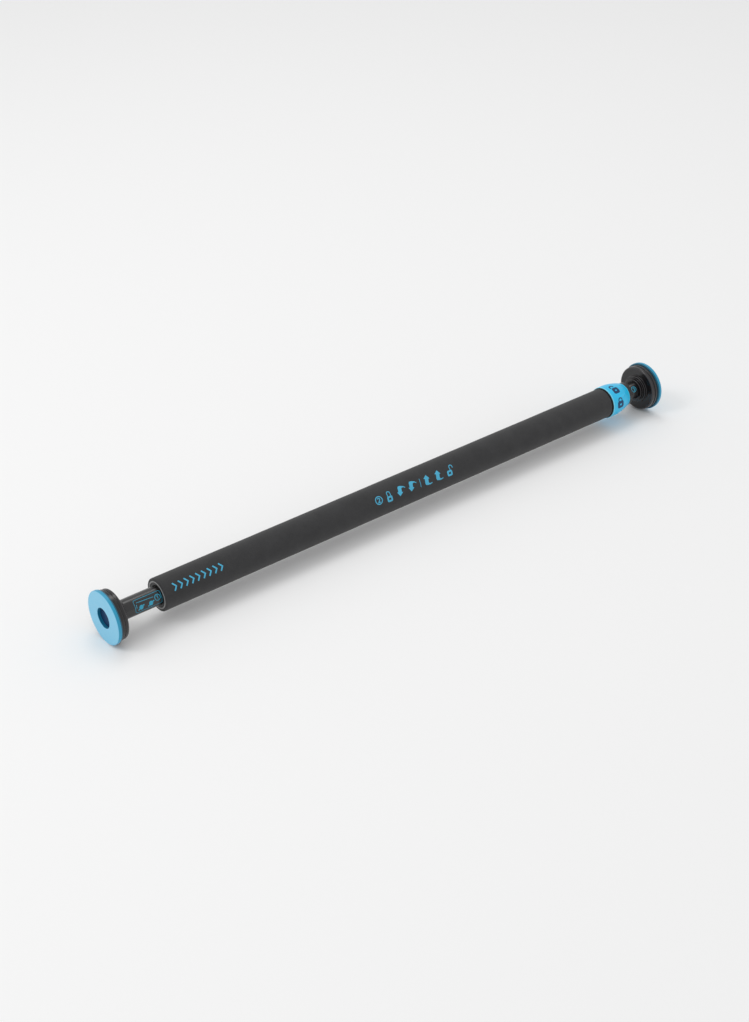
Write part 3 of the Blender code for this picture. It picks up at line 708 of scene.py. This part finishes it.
def make_cup(side):
    """Black cup: a flange beside the pad, a groove, a drum with a well rounded rear edge, and a
    stepped hub round the tube, hollow in front for the pad's ring."""
    radius = outer_radius(side + "_cup")
    start = PAD_THICKNESS + GAP
    length = abs(np.subtract(*ends(side + "_cup")))
    bore = outer_radius(side + "_tube") + GAP
    flange_end = start + sizes().cup_flange
    drum = flange_end + sizes().cup_groove
    floor = CUP_DEPTH - CUP_FLOOR
    corners = [
        (start, radius, 0.5 * MM),
        (flange_end, radius, 0.5 * MM),
        (flange_end, radius - CUP_GROOVE_DEPTH, 0.25 * MM),
        (drum, radius - CUP_GROOVE_DEPTH, 0.25 * MM),
        (drum, radius - DRUM_INSET, 0.4 * MM),
        (CUP_DEPTH, radius - DRUM_INSET, sizes().cup_edge),
        (CUP_DEPTH, HUB_RADII[0], 0.6 * MM),
        (CUP_DEPTH + HUB_STEP, HUB_RADII[0], 0.7 * MM),
        (CUP_DEPTH + HUB_STEP, HUB_RADII[1], 0.4 * MM),
        (start + length, HUB_RADII[1], 0.7 * MM),
        (start + length, bore, 0.3 * MM),
        (SOCKET_FLOOR, bore, 0.2 * MM),
        (SOCKET_FLOOR, SCREW_BORE, 0.2 * MM),
        (SCREW_SEAT, SCREW_BORE, 0.2 * MM),
        (SCREW_SEAT, SCREW_HEAD_BORE, 0.2 * MM),
        (start, SCREW_HEAD_BORE, 0.2 * MM),
        (start, SOCKET_RADIUS, 0.3 * MM),
        (floor, SOCKET_RADIUS, 0.4 * MM),
        (floor, radius - CUP_WALL, 0.4 * MM),
        (start, radius - CUP_WALL, 0.3 * MM),
    ]
    turned_piece(side + "_moulded_cup", side + "_cup", placed(side, corners), "black_abs")


TUBE_WALL = 1.2 * MM
CROSS_PIN_RADIUS = 1.5 * MM
DRILL_OVERRUN = 2 * MM


def make_tube(side, pin_node):
    """Thin inner tube with broken edges at both ends and the hole of its cross pin."""
    node = side + "_tube"
    start, end = ends(node)
    radius = outer_radius(node)
    bore = radius - TUBE_WALL
    corners = [
        (start, radius, 0.25 * MM), (end, radius, 0.25 * MM),
        (end, bore, 0.2 * MM), (start, bore, 0.2 * MM),
    ]
    tube = turned_piece(
        side + "_coated_tube", node, corners, "black_painted_steel", PLAIN_SEGMENTS
    )
    low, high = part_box(pin_node)
    middle = (low + high) / 2
    turn = math.atan2(-middle.y, middle.z)
    drill(
        tube, middle.x, CROSS_PIN_RADIUS + GAP, turn, bore - DRILL_OVERRUN, radius + DRILL_OVERRUN
    )


def foam_radius(x, turn):
    """Distance of the foam's skin from the axis: its own radius plus three slow waves, whose
    lengths along the bar are 61, 97 and 149 mm and which wind round it once, twice and not."""
    wave = (
        np.sin(TURN * x / (61 * MM) + turn)
        + np.sin(TURN * x / (97 * MM) - 2 * turn + 1.0)
        + np.sin(TURN * x / (149 * MM) + 2.0)
    )
    return outer_radius("foam_grip") + sizes().foam_wave * (wave / 3 - 1)


def make_foam():
    """Foam sleeve: its skin follows foam_radius, falls away in a quarter round at both ends, and
    closes over flat cut ends and a straight bore."""
    start, end = ends("foam_grip")
    bore = outer_radius("main_tube") + GAP
    edge = sizes().foam_edge
    turn = turns(PLAIN_SEGMENTS)
    stations = np.linspace(start + edge, end - edge, 180)[:, None]
    skin = foam_radius(stations, turn)
    left, right = rounded_ends(start, end, skin, turn, edge, 7)
    # Rows on the cut end faces out to this radius carry the weight of the painted highlight
    end_highlight_ring = bore + sizes().end_highlight_ring
    rim = np.array([end_highlight_ring + 0.15 * MM, end_highlight_ring, bore + 0.3 * MM])[:, None]
    chamfer = 0.4 * MM
    points = np.concatenate((
        left,
        on_bar(stations[1:-1], turn, skin[1:-1]),
        right,
        on_bar(np.full((3, 1), end), turn, rim),
        on_bar(np.array([[end - chamfer], [start + chamfer]]), turn, bore),
        on_bar(np.full((3, 1), start), turn, rim[::-1]),
    ))
    distance = np.hypot(points[:, 0, 1], points[:, 0, 2])
    weight = np.where(distance < end_highlight_ring + 0.01 * MM, 1.0, 0.0)
    sleeve = node_piece(
        "foam_sleeve", "foam_grip", grid_faces(points, True, True), "nbr_foam",
        np.repeat(weight, PLAIN_SEGMENTS),
    )
    sleeve.data.attributes["edge"].name = "cut"


MOUTH_STEP = 1.5 * MM
MOUTH_FLANGE = 4 * MM
MOUTH_LIP = 1 * MM


def make_mouth():
    """Bush in the foam's left mouth, with a lead-in chamfer, a groove for the wiper and a stem
    inside the main tube; and the wiper ring with its lip."""
    start, end = ends("mouth_bush")
    radius = outer_radius("mouth_bush")
    bore = outer_radius("left_tube") + GAP
    stem = radius - MOUTH_STEP
    flange = start + MOUTH_FLANGE
    groove = start + MOUTH_LIP
    wiper_start, wiper_end = ends("wiper_ring")
    wiper_radius = outer_radius("wiper_ring")
    groove_end = wiper_end + GAP
    corners = [
        (start, radius, 0.4 * MM), (flange, radius, 0.2 * MM), (flange, stem, 0.2 * MM),
        (end, stem, 0.5 * MM), (end, bore, 0.2 * MM), (groove_end, bore, 0.15 * MM),
        (groove_end, wiper_radius + GAP, 0.1 * MM), (groove, wiper_radius + GAP, 0.1 * MM),
        (groove, bore, 0.15 * MM), (start, bore, 0.4 * MM),
    ]
    turned_piece("mouth_bush_ring", "mouth_bush", corners, "black_nylon", PLAIN_SEGMENTS)
    wiper = [
        (wiper_start, wiper_radius, 0.25 * MM), (wiper_end, wiper_radius, 0.25 * MM),
        (wiper_end, bore, 0.25 * MM), (wiper_start, bore, 0.25 * MM),
    ]
    turned_piece("wiper_lip_ring", "wiper_ring", wiper, "black_nylon", PLAIN_SEGMENTS)


RING_STRAIGHT = 11.4 * MM
RING_TIP_RADIUS = 17.5 * MM
RING_POWER = 1.75
RING_TIP_BORE = 16.2 * MM
RING_WALL = 1.8 * MM
RING_LEDGE = 1.9 * MM
RING_EDGE = 0.6 * MM
RING_SEGMENTS = 384
RIB_STATIONS = (11.5 * MM, 30.5 * MM)
RIB_TURN = math.radians(55)
RIB_SLOPE = math.radians(-6)
RIB_WIDTH = 1.5 * MM


def ring_radius(x, turn):
    """Distance of the lock ring's skin from the axis: level at first, then falling with a power
    of the distance, plus a moulded thumb rib between its two printed marks. The rib runs along the
    ring, leans a little, is parabolic across and fades at both ends."""
    start, end = ends("lock_ring")
    radius = outer_radius("lock_ring")
    along = x - start
    taper = np.clip((along - RING_STRAIGHT) / (end - start - RING_STRAIGHT), 0, 1)
    base = radius - (radius - RING_TIP_RADIUS) * taper ** RING_POWER
    share = (along - RIB_STATIONS[0]) / (RIB_STATIONS[1] - RIB_STATIONS[0])
    across = radius * (turn - RIB_TURN - RIB_SLOPE * (share - 0.5))
    sideways = np.clip(1 - (across / RIB_WIDTH) ** 2, 0, 1)
    lengthways = np.clip(np.minimum(share, 1 - share) * 5, 0, 1)
    return base + sizes().ring_rib * sideways * lengthways


def make_lock_ring():
    """Lock ring: its skin follows ring_radius, its edges are rounded, and its bore clears the
    slider's studs before it narrows to the ledge and the tip."""
    start, end = ends("lock_ring")
    turn = turns(RING_SEGMENTS)
    stations = np.linspace(start + RING_EDGE, end - RING_EDGE, 48)[:, None]
    skin = ring_radius(stations, turn)
    left, right = rounded_ends(start, end, skin, turn, RING_EDGE, 6)
    bore = outer_radius("lock_ring") - RING_WALL
    ledge = bore - RING_LEDGE
    studs_end = start + 14.9 * MM
    inside = rounded([
        (end, RING_TIP_BORE + 0.2 * MM, 0),
        (end - 0.2 * MM, RING_TIP_BORE, 0),
        (end - 1.5 * MM, RING_TIP_BORE, 0.3 * MM),
        (start + 33 * MM, 17.8 * MM, 0),
        (start + 27.6 * MM, 19.4 * MM, 0),
        (start + 17.7 * MM, ledge, 0.2 * MM),
        (studs_end, ledge, 0.2 * MM),
        (studs_end, bore, 0.2 * MM),
        (start + 0.3 * MM, bore, 0),
        (start, bore + 0.3 * MM, 0),
    ], steps=3)
    points = np.concatenate((
        left, on_bar(stations[1:-1], turn, skin[1:-1]), right, lathe(inside, RING_SEGMENTS),
    ))
    weight = np.zeros(points.shape[:2])
    after_skin = len(left) + len(stations) - 2
    weight[:len(left)] = 1.0
    weight[after_skin:after_skin + len(right)] = 1.0
    node_piece(
        "lock_ring_shell", "lock_ring", grid_faces(points, True, True), "cyan_abs", weight
    )


CAP_LIP = 1 * MM


def make_lock_cap():
    """Cap that keeps the lock ring on: a plug inside the housing and a rounded collar."""
    start, end = ends("lock_cap")
    radius = outer_radius("lock_cap")
    plug = radius - CAP_LIP
    bore = outer_radius("right_tube") + GAP
    collar = ends("lock_ring")[1] + GAP
    corners = [
        (start, plug, 0.4 * MM), (collar, plug, 0.1 * MM), (collar, radius, 0.3 * MM),
        (end, radius, 0.9 * MM), (end, bore, 0.4 * MM), (start, bore, 0.3 * MM),
    ]
    turned_piece("lock_cap_collar", "lock_cap", corners, "black_abs", PLAIN_SEGMENTS)


ROD_SEGMENTS = 32
ROWS_PER_PITCH = 8
CREST_SHARE = 0.14
FLANK_SHARE = 0.18
ROD_CHAMFER = 0.8 * MM


def make_rod():
    """Threaded rod. Its radius at a point depends on the distance along the thread, which is the
    station over the pitch less the turn over a whole turn: a flat crest, a straight flank, a flat
    root and a flank again. The thread fades at both ends, which are closed by flat faces."""
    start, end = ends("threaded_rod")
    crest = outer_radius("threaded_rod")
    pitch = sizes().thread_pitch
    turn = turns(ROD_SEGMENTS)
    rows = int((end - start) / pitch * ROWS_PER_PITCH)
    stations = np.linspace(start, end, rows)[:, None]
    phase = np.mod(stations / pitch - turn / TURN, 1.0)
    depth = np.clip((0.5 - np.abs(phase - 0.5) - CREST_SHARE) / FLANK_SHARE, 0, 1)
    fade = np.clip(np.minimum(stations - start, end - stations) / pitch, 0, 1)
    radius = crest - sizes().thread_depth * depth * fade
    closing = np.array([[0.0], [crest - ROD_CHAMFER]])
    left = on_bar(np.full((2, 1), start), turn, closing)
    right = on_bar(np.full((2, 1), end), turn, closing[::-1])
    threaded = slice(ROWS_PER_PITCH, -ROWS_PER_PITCH)
    stations = np.clip(stations, start + ROD_CHAMFER, end - ROD_CHAMFER)
    points = np.concatenate((left, on_bar(stations[threaded], turn, radius[threaded]), right))
    rod = node_piece(
        "threaded_steel_rod", "threaded_rod", grid_faces(points, False, True), "zinc_steel"
    )
    low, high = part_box("anchor_pin")
    station = (low.x + high.x) / 2
    drill(rod, station, (high.x - low.x) / 2 + GAP, 0.0, -2 * crest, 2 * crest)


# Printed marks. A mark is drawn flat in millimetres, with its first axis along the bar and its
# second upwards round it, and is then wrapped on a piece.

STEP = 0.6
RULED_STEPS = 6
DISC_GRID = 9


def resampled(path):
    """Path through the same corners with more points between them, evenly along its length."""
    path = np.array(path, float)
    length = np.concatenate(([0], np.cumsum(np.linalg.norm(np.diff(path, axis=0), axis=1))))
    count = max(2, int(length[-1] / STEP))
    at = np.union1d(np.round(length, 6), np.round(np.linspace(0, length[-1], count), 6))
    return np.stack([np.interp(at, length, path[:, i]) for i in range(2)], axis=-1)


def arc_path(centre, radius, start, end, count=24):
    """Points round a circle from one angle to another, in degrees from the first axis."""
    angle = np.radians(np.linspace(start, end, count))
    return np.stack((centre[0] + radius * np.cos(angle), centre[1] + radius * np.sin(angle)), -1)


def rounded_box(width, height, corner, centre=(0, 0)):
    """Closed path round a box with rounded corners."""
    parts = []
    for k, (sx, sy) in enumerate(((1, 1), (-1, 1), (-1, -1), (1, -1))):
        middle = (centre[0] + sx * (width / 2 - corner), centre[1] + sy * (height / 2 - corner))
        parts.append(arc_path(middle, corner, 90 * k, 90 * k + 90, 5))
    path = np.concatenate(parts)
    return np.concatenate((path, path[:1]))


def stroke(path, width, closed=False):
    """Flat band of the given width along a path: each point moves sideways by up to half the
    width, along the line that halves the angle between its two neighbours."""
    path = resampled(path)
    if closed:
        path = path[:-1]
        before, after = path - np.roll(path, 1, axis=0), np.roll(path, -1, axis=0) - path
    else:
        steps = np.diff(path, axis=0)
        before = np.concatenate((steps[:1], steps))
        after = np.concatenate((steps, steps[-1:]))
    before /= np.linalg.norm(before, axis=1, keepdims=True)
    after /= np.linalg.norm(after, axis=1, keepdims=True)
    normal = np.stack((-(before + after)[:, 1], (before + after)[:, 0]), -1)
    normal /= np.linalg.norm(normal, axis=1, keepdims=True)
    lean = np.clip(normal[:, 0] * -after[:, 1] + normal[:, 1] * after[:, 0], 0.5, 1)
    half = (width / 2 / lean)[:, None, None]
    side = np.linspace(-1, 1, 5)[None, :, None]
    return path[:, None, :] + normal[:, None, :] * half * side, closed


def between(first, second):
    """Flat band ruled between two edges with the same number of corners."""
    edges = np.array((first, second), float)
    last = edges.shape[1] - 1
    at = np.linspace(0, last, last * RULED_STEPS + 1)
    corner = np.arange(last + 1)
    lines = [np.stack([np.interp(at, corner, edge[:, i]) for i in range(2)], -1) for edge in edges]
    side = np.linspace(0, 1, 7)[None, :, None]
    return lines[1][:, None] * (1 - side) + lines[0][:, None] * side, False


def disc(width, height):
    """Filled ellipse: a square grid squeezed so that its border becomes the ellipse."""
    side = np.linspace(-1, 1, DISC_GRID)
    u, v = np.meshgrid(side, side, indexing="ij")
    x = u * np.sqrt(1 - v ** 2 / 2) * width / 2
    y = v * np.sqrt(1 - u ** 2 / 2) * height / 2
    return np.stack((x, y), -1), False


def moved(mark, by, mirror=1, lean=0):
    """The mark's bands, upside down if mirror is -1, turned clockwise by lean degrees, and moved
    by (along, up)."""
    turn = math.radians(lean)
    spin = np.array(((math.cos(turn), -math.sin(turn)), (math.sin(turn), math.cos(turn))))
    return [(grid * (1, mirror) @ spin + by, closed) for grid, closed in mark]


def wrapped(mark, station, front_angle, radius_at, base_radius):
    """Solid bands of a mark, laid on the surface radius_at with the mark's origin at a station and
    at front_angle degrees up from the front. The upper face stands above the surface by the
    print's height, and the lower face as far below it."""
    parts = []
    rise = sizes().print_height
    for grid, closed in mark:
        x = station + grid[..., 0] * MM
        turn = math.radians(90 - front_angle) - grid[..., 1] * MM / base_radius
        surface = radius_at(x, turn)
        upper, under = on_bar(x, turn, surface + rise), on_bar(x, turn, surface - rise)
        points = np.concatenate((upper, under[:, ::-1]), axis=1)
        parts.append(grid_faces(points, closed, True, cap_ends=not closed))
    return parts


def padlock_mark(
    is_open, size=1.0, arch_height=3.4, aside=4.3, arch_width=1.15, frame_width=2.5
):
    """Padlock: a square ring for its body and an arch above it, which stands aside when open.
    The arch's legs start in the body's frame, except an open one's outer leg."""
    body = rounded_box(6.1 * size, 5.3 * size, 0.8 * size, (0, -4.2 * size))
    leg_end = frame_width / 2 - 1.6
    outer_end = 1.4 if is_open else leg_end
    arch = np.concatenate((
        [(-2.5, leg_end)], arc_path((0, arch_height), 2.5, 180, 0, 16), [(2.5, outer_end)],
    ))
    arch += (aside if is_open else 0, 0)
    return [stroke(body, frame_width * size, closed=True), stroke(arch * size, arch_width * size)]


def twist_arrow():
    """Broad arrow that points down round the bar, with a thin tail that bends in from one side."""
    outer = (
        (9.2, 4.6), (6.0, 6.2), (1.8, 6.9), (-1.6, 6.5), (-2.7, 4.4), (-2.7, -1.3), (-4.7, -1.8),
        (-0.15, -6.7),
    )
    inner = (
        (9.0, 3.5), (6.4, 4.6), (4.2, 4.4), (3.0, 3.4), (2.8, 1.6), (2.8, -1.3), (4.7, -1.8),
        (0.15, -6.7),
    )
    return [between(outer, inner)]


DIGIT_CIRCLE = 5.4
DIGITS = {
    1: [[(-1.3, 1.9), (0.3, 3.0), (0.3, -3.0)]],
    2: [np.concatenate((arc_path((0, 1.4), 1.6, 165, -35, 14), [(-1.7, -2.9), (1.8, -2.9)]))],
    3: [np.concatenate((
        arc_path((0, 1.4), 1.5, 150, -70, 14), arc_path((0, -1.5), 1.7, 80, -150, 14),
    ))],
}


def circled_digit(digit, radius, width):
    """A digit in a circle. The digits are drawn for a circle of DIGIT_CIRCLE's radius."""
    circle = stroke(arc_path((0, 0), radius, 0, 360, 49), width, closed=True)
    scale = radius / DIGIT_CIRCLE
    return [circle] + [stroke(np.array(path) * scale, width) for path in DIGITS[digit]]


def chevron_row(count, pitch, height):
    """A row of plain chevrons along the bar."""
    arm = height / 2
    one = [stroke([(-2.0, arm), (1.8, 0), (-2.0, -arm)], 1.9)]
    return [band for i in range(count) for band in moved(one, (i * pitch, 0))]


def steps_label():
    """Label on the left tube: a thin rounded frame round a circled number, two thin lines and two
    small pictures of a foot that is drawn out on its tube."""
    picture = [
        disc(5.6, 6.0), stroke([(2.4, 1.4), (4.6, 2.2)], 1.5),
        stroke([(-2.4, -1.6), (-4.4, -2.6)], 1.2),
    ]
    bands = [
        stroke(rounded_box(37.0, 16.6, 2.2), 0.5, closed=True),
        stroke([(-15.5, 4.6), (8.0, 3.4)], 0.6), stroke([(-16.5, -2.0), (-16.0, 2.4)], 0.7),
    ]
    bands += moved(picture, (-10.5, -2.9)) + moved(picture, (3.2, -3.0))
    return bands + moved(circled_digit(1, 3.7, 0.85), (13.2, 0.8))


ARROW_LEAN = 14


def print_rows():
    """Printed pieces as (name, node, ink, surface radius, marks). A mark is its drawing, its
    distance from the left pad's face in millimetres, and its degrees up from the front."""
    thin = outer_radius("left_tube")

    def tube_radius(x, turn):
        return np.full(np.shape(x), thin)

    down = moved(twist_arrow(), (0, 0), 1, ARROW_LEAN)
    up = moved(twist_arrow(), (0, 0), -1, ARROW_LEAN)
    foam_ink = screen_ink("foam_ink", colours().foam_print)
    label_ink = screen_ink("label_ink", colours().label_print)
    ring_ink = screen_ink("ring_ink", colours().ring_print)
    return (
        ("grip_step_marks", "foam_grip", foam_ink, foam_radius, (
            (circled_digit(2, 5.2, 1.25), 407.0, 35.7),
            (padlock_mark(False), 424.2, 36.5),
            (down, 442.6, 37.0),
            (down, 461.8, 36.6),
            ([stroke([(0.6, 5.6), (-0.6, -5.6)], 0.7)], 477.3, 35.0),
            (up, 488.4, 35.6),
            (up, 507.7, 35.6),
            (padlock_mark(True), 527.8, 36.2),
        )),
        ("grip_chevrons", "foam_grip", foam_ink, foam_radius, (
            (chevron_row(9, 8.4, 10.0), 92.0, 42),
        )),
        ("left_tube_label", "left_tube", label_ink, tube_radius, ((steps_label(), 56.3, 24),)),
        ("right_tube_mark", "right_tube", label_ink, tube_radius, (
            (circled_digit(3, 4.1, 0.85), 892.2, 40),
        )),
        ("lock_ring_marks", "lock_ring", ring_ink, ring_radius, (
            (padlock_mark(True, 1.2, 2.0, -2.2, 1.9, 3.5), 852.6, 75),
            (padlock_mark(False, 1.3, 0.9, 0, 1.3, 3.2), 852.2, 20),
        )),
    )


def make_prints():
    """All printed marks, each wrapped on the piece that carries it and riding with it."""
    pad_face_sheen = ends("left_pad")[0]
    for name, node, ink, radius_at, marks in print_rows():
        parts = []
        for mark, along, angle in marks:
            parts += wrapped(mark, pad_face_sheen + along * MM, angle, radius_at, outer_radius(node))
        make_piece(name, parts, ink, BODY_OF[node])


def finish_cad_nodes():
    """Gives every CAD node that is still shown the finish of its slot."""
    for row in RECORD["subparts"]:
        node = NODES[row["node"]]
        if not node.hide_render:
            node.data.materials.clear()
            node.data.materials.append(finish(row["material_slot"]))


# Stage

CAMERA_PLACE = (-1.22856, -1.46284, 1.19003)
CAMERA_PITCH = 32.672
CAMERA_HEADING = -38.884
CAMERA_LENS = 59.530333
SENSOR_WIDTH = 36.0
VIEW_DISTANCE = 60
FLOOR_REACH = 12
WORLD_STRENGTH = 0.79


def make_floor():
    """A plain pale floor, far larger than the view, as a grid of four by four faces. The eye sees
    matt, even backdrop paper."""
    side = np.linspace(-FLOOR_REACH, FLOOR_REACH, 5)
    x, y = np.meshgrid(side, side)
    points = np.stack((x, y, np.full_like(x, CAD_BOX[0][2])), -1)
    vertices, quads = grid_faces(points, False, False)
    mesh = bpy.data.meshes.new("floor")
    mesh.from_pydata(vertices, [], quads.tolist())
    mesh.materials.append(start_finish(
        "matt_backdrop_paper", Base_Color=(*linear("#F4F4F4"), 1.0), Roughness=0.95,
        Specular_IOR_Level=0.1,
    )[0])
    new_object("floor", mesh)


def add_area_light(name, place, size, power):
    """A square soft box that faces the middle of the bar."""
    lamp = bpy.data.lights.new(name, "AREA")
    lamp.shape = "SQUARE"
    lamp.size = size
    lamp.energy = power
    holder = new_object(name, lamp)
    holder.location = x, y, z = place
    holder.rotation_euler = (math.atan2(math.hypot(x, y), z), 0, math.atan2(x, -y))


def make_camera():
    camera = bpy.data.cameras.new("camera")
    camera.sensor_width = SENSOR_WIDTH
    camera.lens = CAMERA_LENS
    camera.clip_end = VIEW_DISTANCE
    holder = new_object("camera", camera)
    holder.location = CAMERA_PLACE
    holder.rotation_euler = (math.radians(90 - CAMERA_PITCH), 0, math.radians(CAMERA_HEADING))
    bpy.context.scene.camera = holder


def make_world():
    """An even white studio, shown through the Standard view transform, which keeps the blues."""
    world = bpy.data.worlds.new("studio")
    world.use_nodes = True
    background = world.node_tree.nodes["Background"]
    background.inputs["Color"].default_value = (1.0, 1.0, 1.0, 1.0)
    background.inputs["Strength"].default_value = WORLD_STRENGTH
    bpy.context.scene.world = world
    bpy.context.scene.view_settings.view_transform = "Standard"


# Operators

class BuildStep:
    """One step of the build, as an operator that always finishes."""

    def execute(self, context):
        self.build()
        return {"FINISHED"}


class MakeStage(BuildStep, bpy.types.Operator):
    """Make the floor, the studio light and the camera"""

    bl_idname = "pull_up_bar.make_stage"
    bl_label = "Stage"

    def build(self):
        make_floor()
        make_world()
        add_area_light("key_light", (-2.4, 0.6, 2.6), 1.1, 20)
        add_area_light("top_light", (0.5, 1.2, 3.2), 1.3, 14)
        make_camera()


class MakeFeet(BuildStep, bpy.types.Operator):
    """Make the rubber pads and the cups that hold them"""

    bl_idname = "pull_up_bar.make_feet"
    bl_label = "Pads and cups"

    def build(self):
        for side in ("left", "right"):
            make_pad(side)
            make_cup(side)


class MakeTubes(BuildStep, bpy.types.Operator):
    """Make the two thin tubes that carry the feet"""

    bl_idname = "pull_up_bar.make_tubes"
    bl_label = "Inner tubes"

    def build(self):
        make_tube("left", "nut_pin")
        make_tube("right", "wheel_pin")


class MakeGrip(BuildStep, bpy.types.Operator):
    """Make the foam sleeve and the bush and wiper in its mouth"""

    bl_idname = "pull_up_bar.make_grip"
    bl_label = "Foam grip"

    def build(self):
        make_foam()
        make_mouth()


class MakeLock(BuildStep, bpy.types.Operator):
    """Make the lock ring and the cap that keeps it on"""

    bl_idname = "pull_up_bar.make_lock"
    bl_label = "Lock ring and cap"

    def build(self):
        make_lock_ring()
        make_lock_cap()


class MakeRod(BuildStep, bpy.types.Operator):
    """Make the threaded rod inside the bar"""

    bl_idname = "pull_up_bar.make_rod"
    bl_label = "Threaded rod"

    def build(self):
        make_rod()


class MakePrints(BuildStep, bpy.types.Operator):
    """Make the printed marks on the foam, tubes and lock ring"""

    bl_idname = "pull_up_bar.make_prints"
    bl_label = "Printed marks"

    def build(self):
        make_prints()


class FinishCadNodes(BuildStep, bpy.types.Operator):
    """Give the CAD pieces that stay shown their finishes"""

    bl_idname = "pull_up_bar.finish_cad_nodes"
    bl_label = "Inner pieces"

    def build(self):
        finish_cad_nodes()


class PullUpBarPanel(bpy.types.Panel):
    """Lists the steps that build the bar"""

    bl_idname = "VIEW3D_PT_pull_up_bar"
    bl_label = "Pull-up bar"
    bl_space_type = "VIEW_3D"
    bl_region_type = "UI"
    bl_category = "Pull-up bar"

    def draw(self, context):
        for step in STEPS:
            self.layout.operator(step.bl_idname)
        for group in (sizes(), colours()):
            for name in group.bl_rna.properties.keys():
                if name not in ("rna_type", "name"):
                    self.layout.prop(group, name)


STEPS = (
    MakeStage, MakeFeet, MakeTubes, MakeGrip, MakeLock, MakeRod, MakePrints, FinishCadNodes,
)
CLASSES = (PullUpBarSizes, PullUpBarColours, *STEPS, PullUpBarPanel)


def register():
    for kind in CLASSES:
        bpy.utils.register_class(kind)
    bpy.types.Scene.pull_up_bar_sizes = bpy.props.PointerProperty(type=PullUpBarSizes)
    bpy.types.Scene.pull_up_bar_colours = bpy.props.PointerProperty(type=PullUpBarColours)


def unregister():
    del bpy.types.Scene.pull_up_bar_colours
    del bpy.types.Scene.pull_up_bar_sizes
    for kind in reversed(CLASSES):
        bpy.utils.unregister_class(kind)


def main():
    register()
    for step in STEPS:
        getattr(bpy.ops.pull_up_bar, step.bl_idname.partition(".")[2])()


if __name__ == "__main__":
    main()
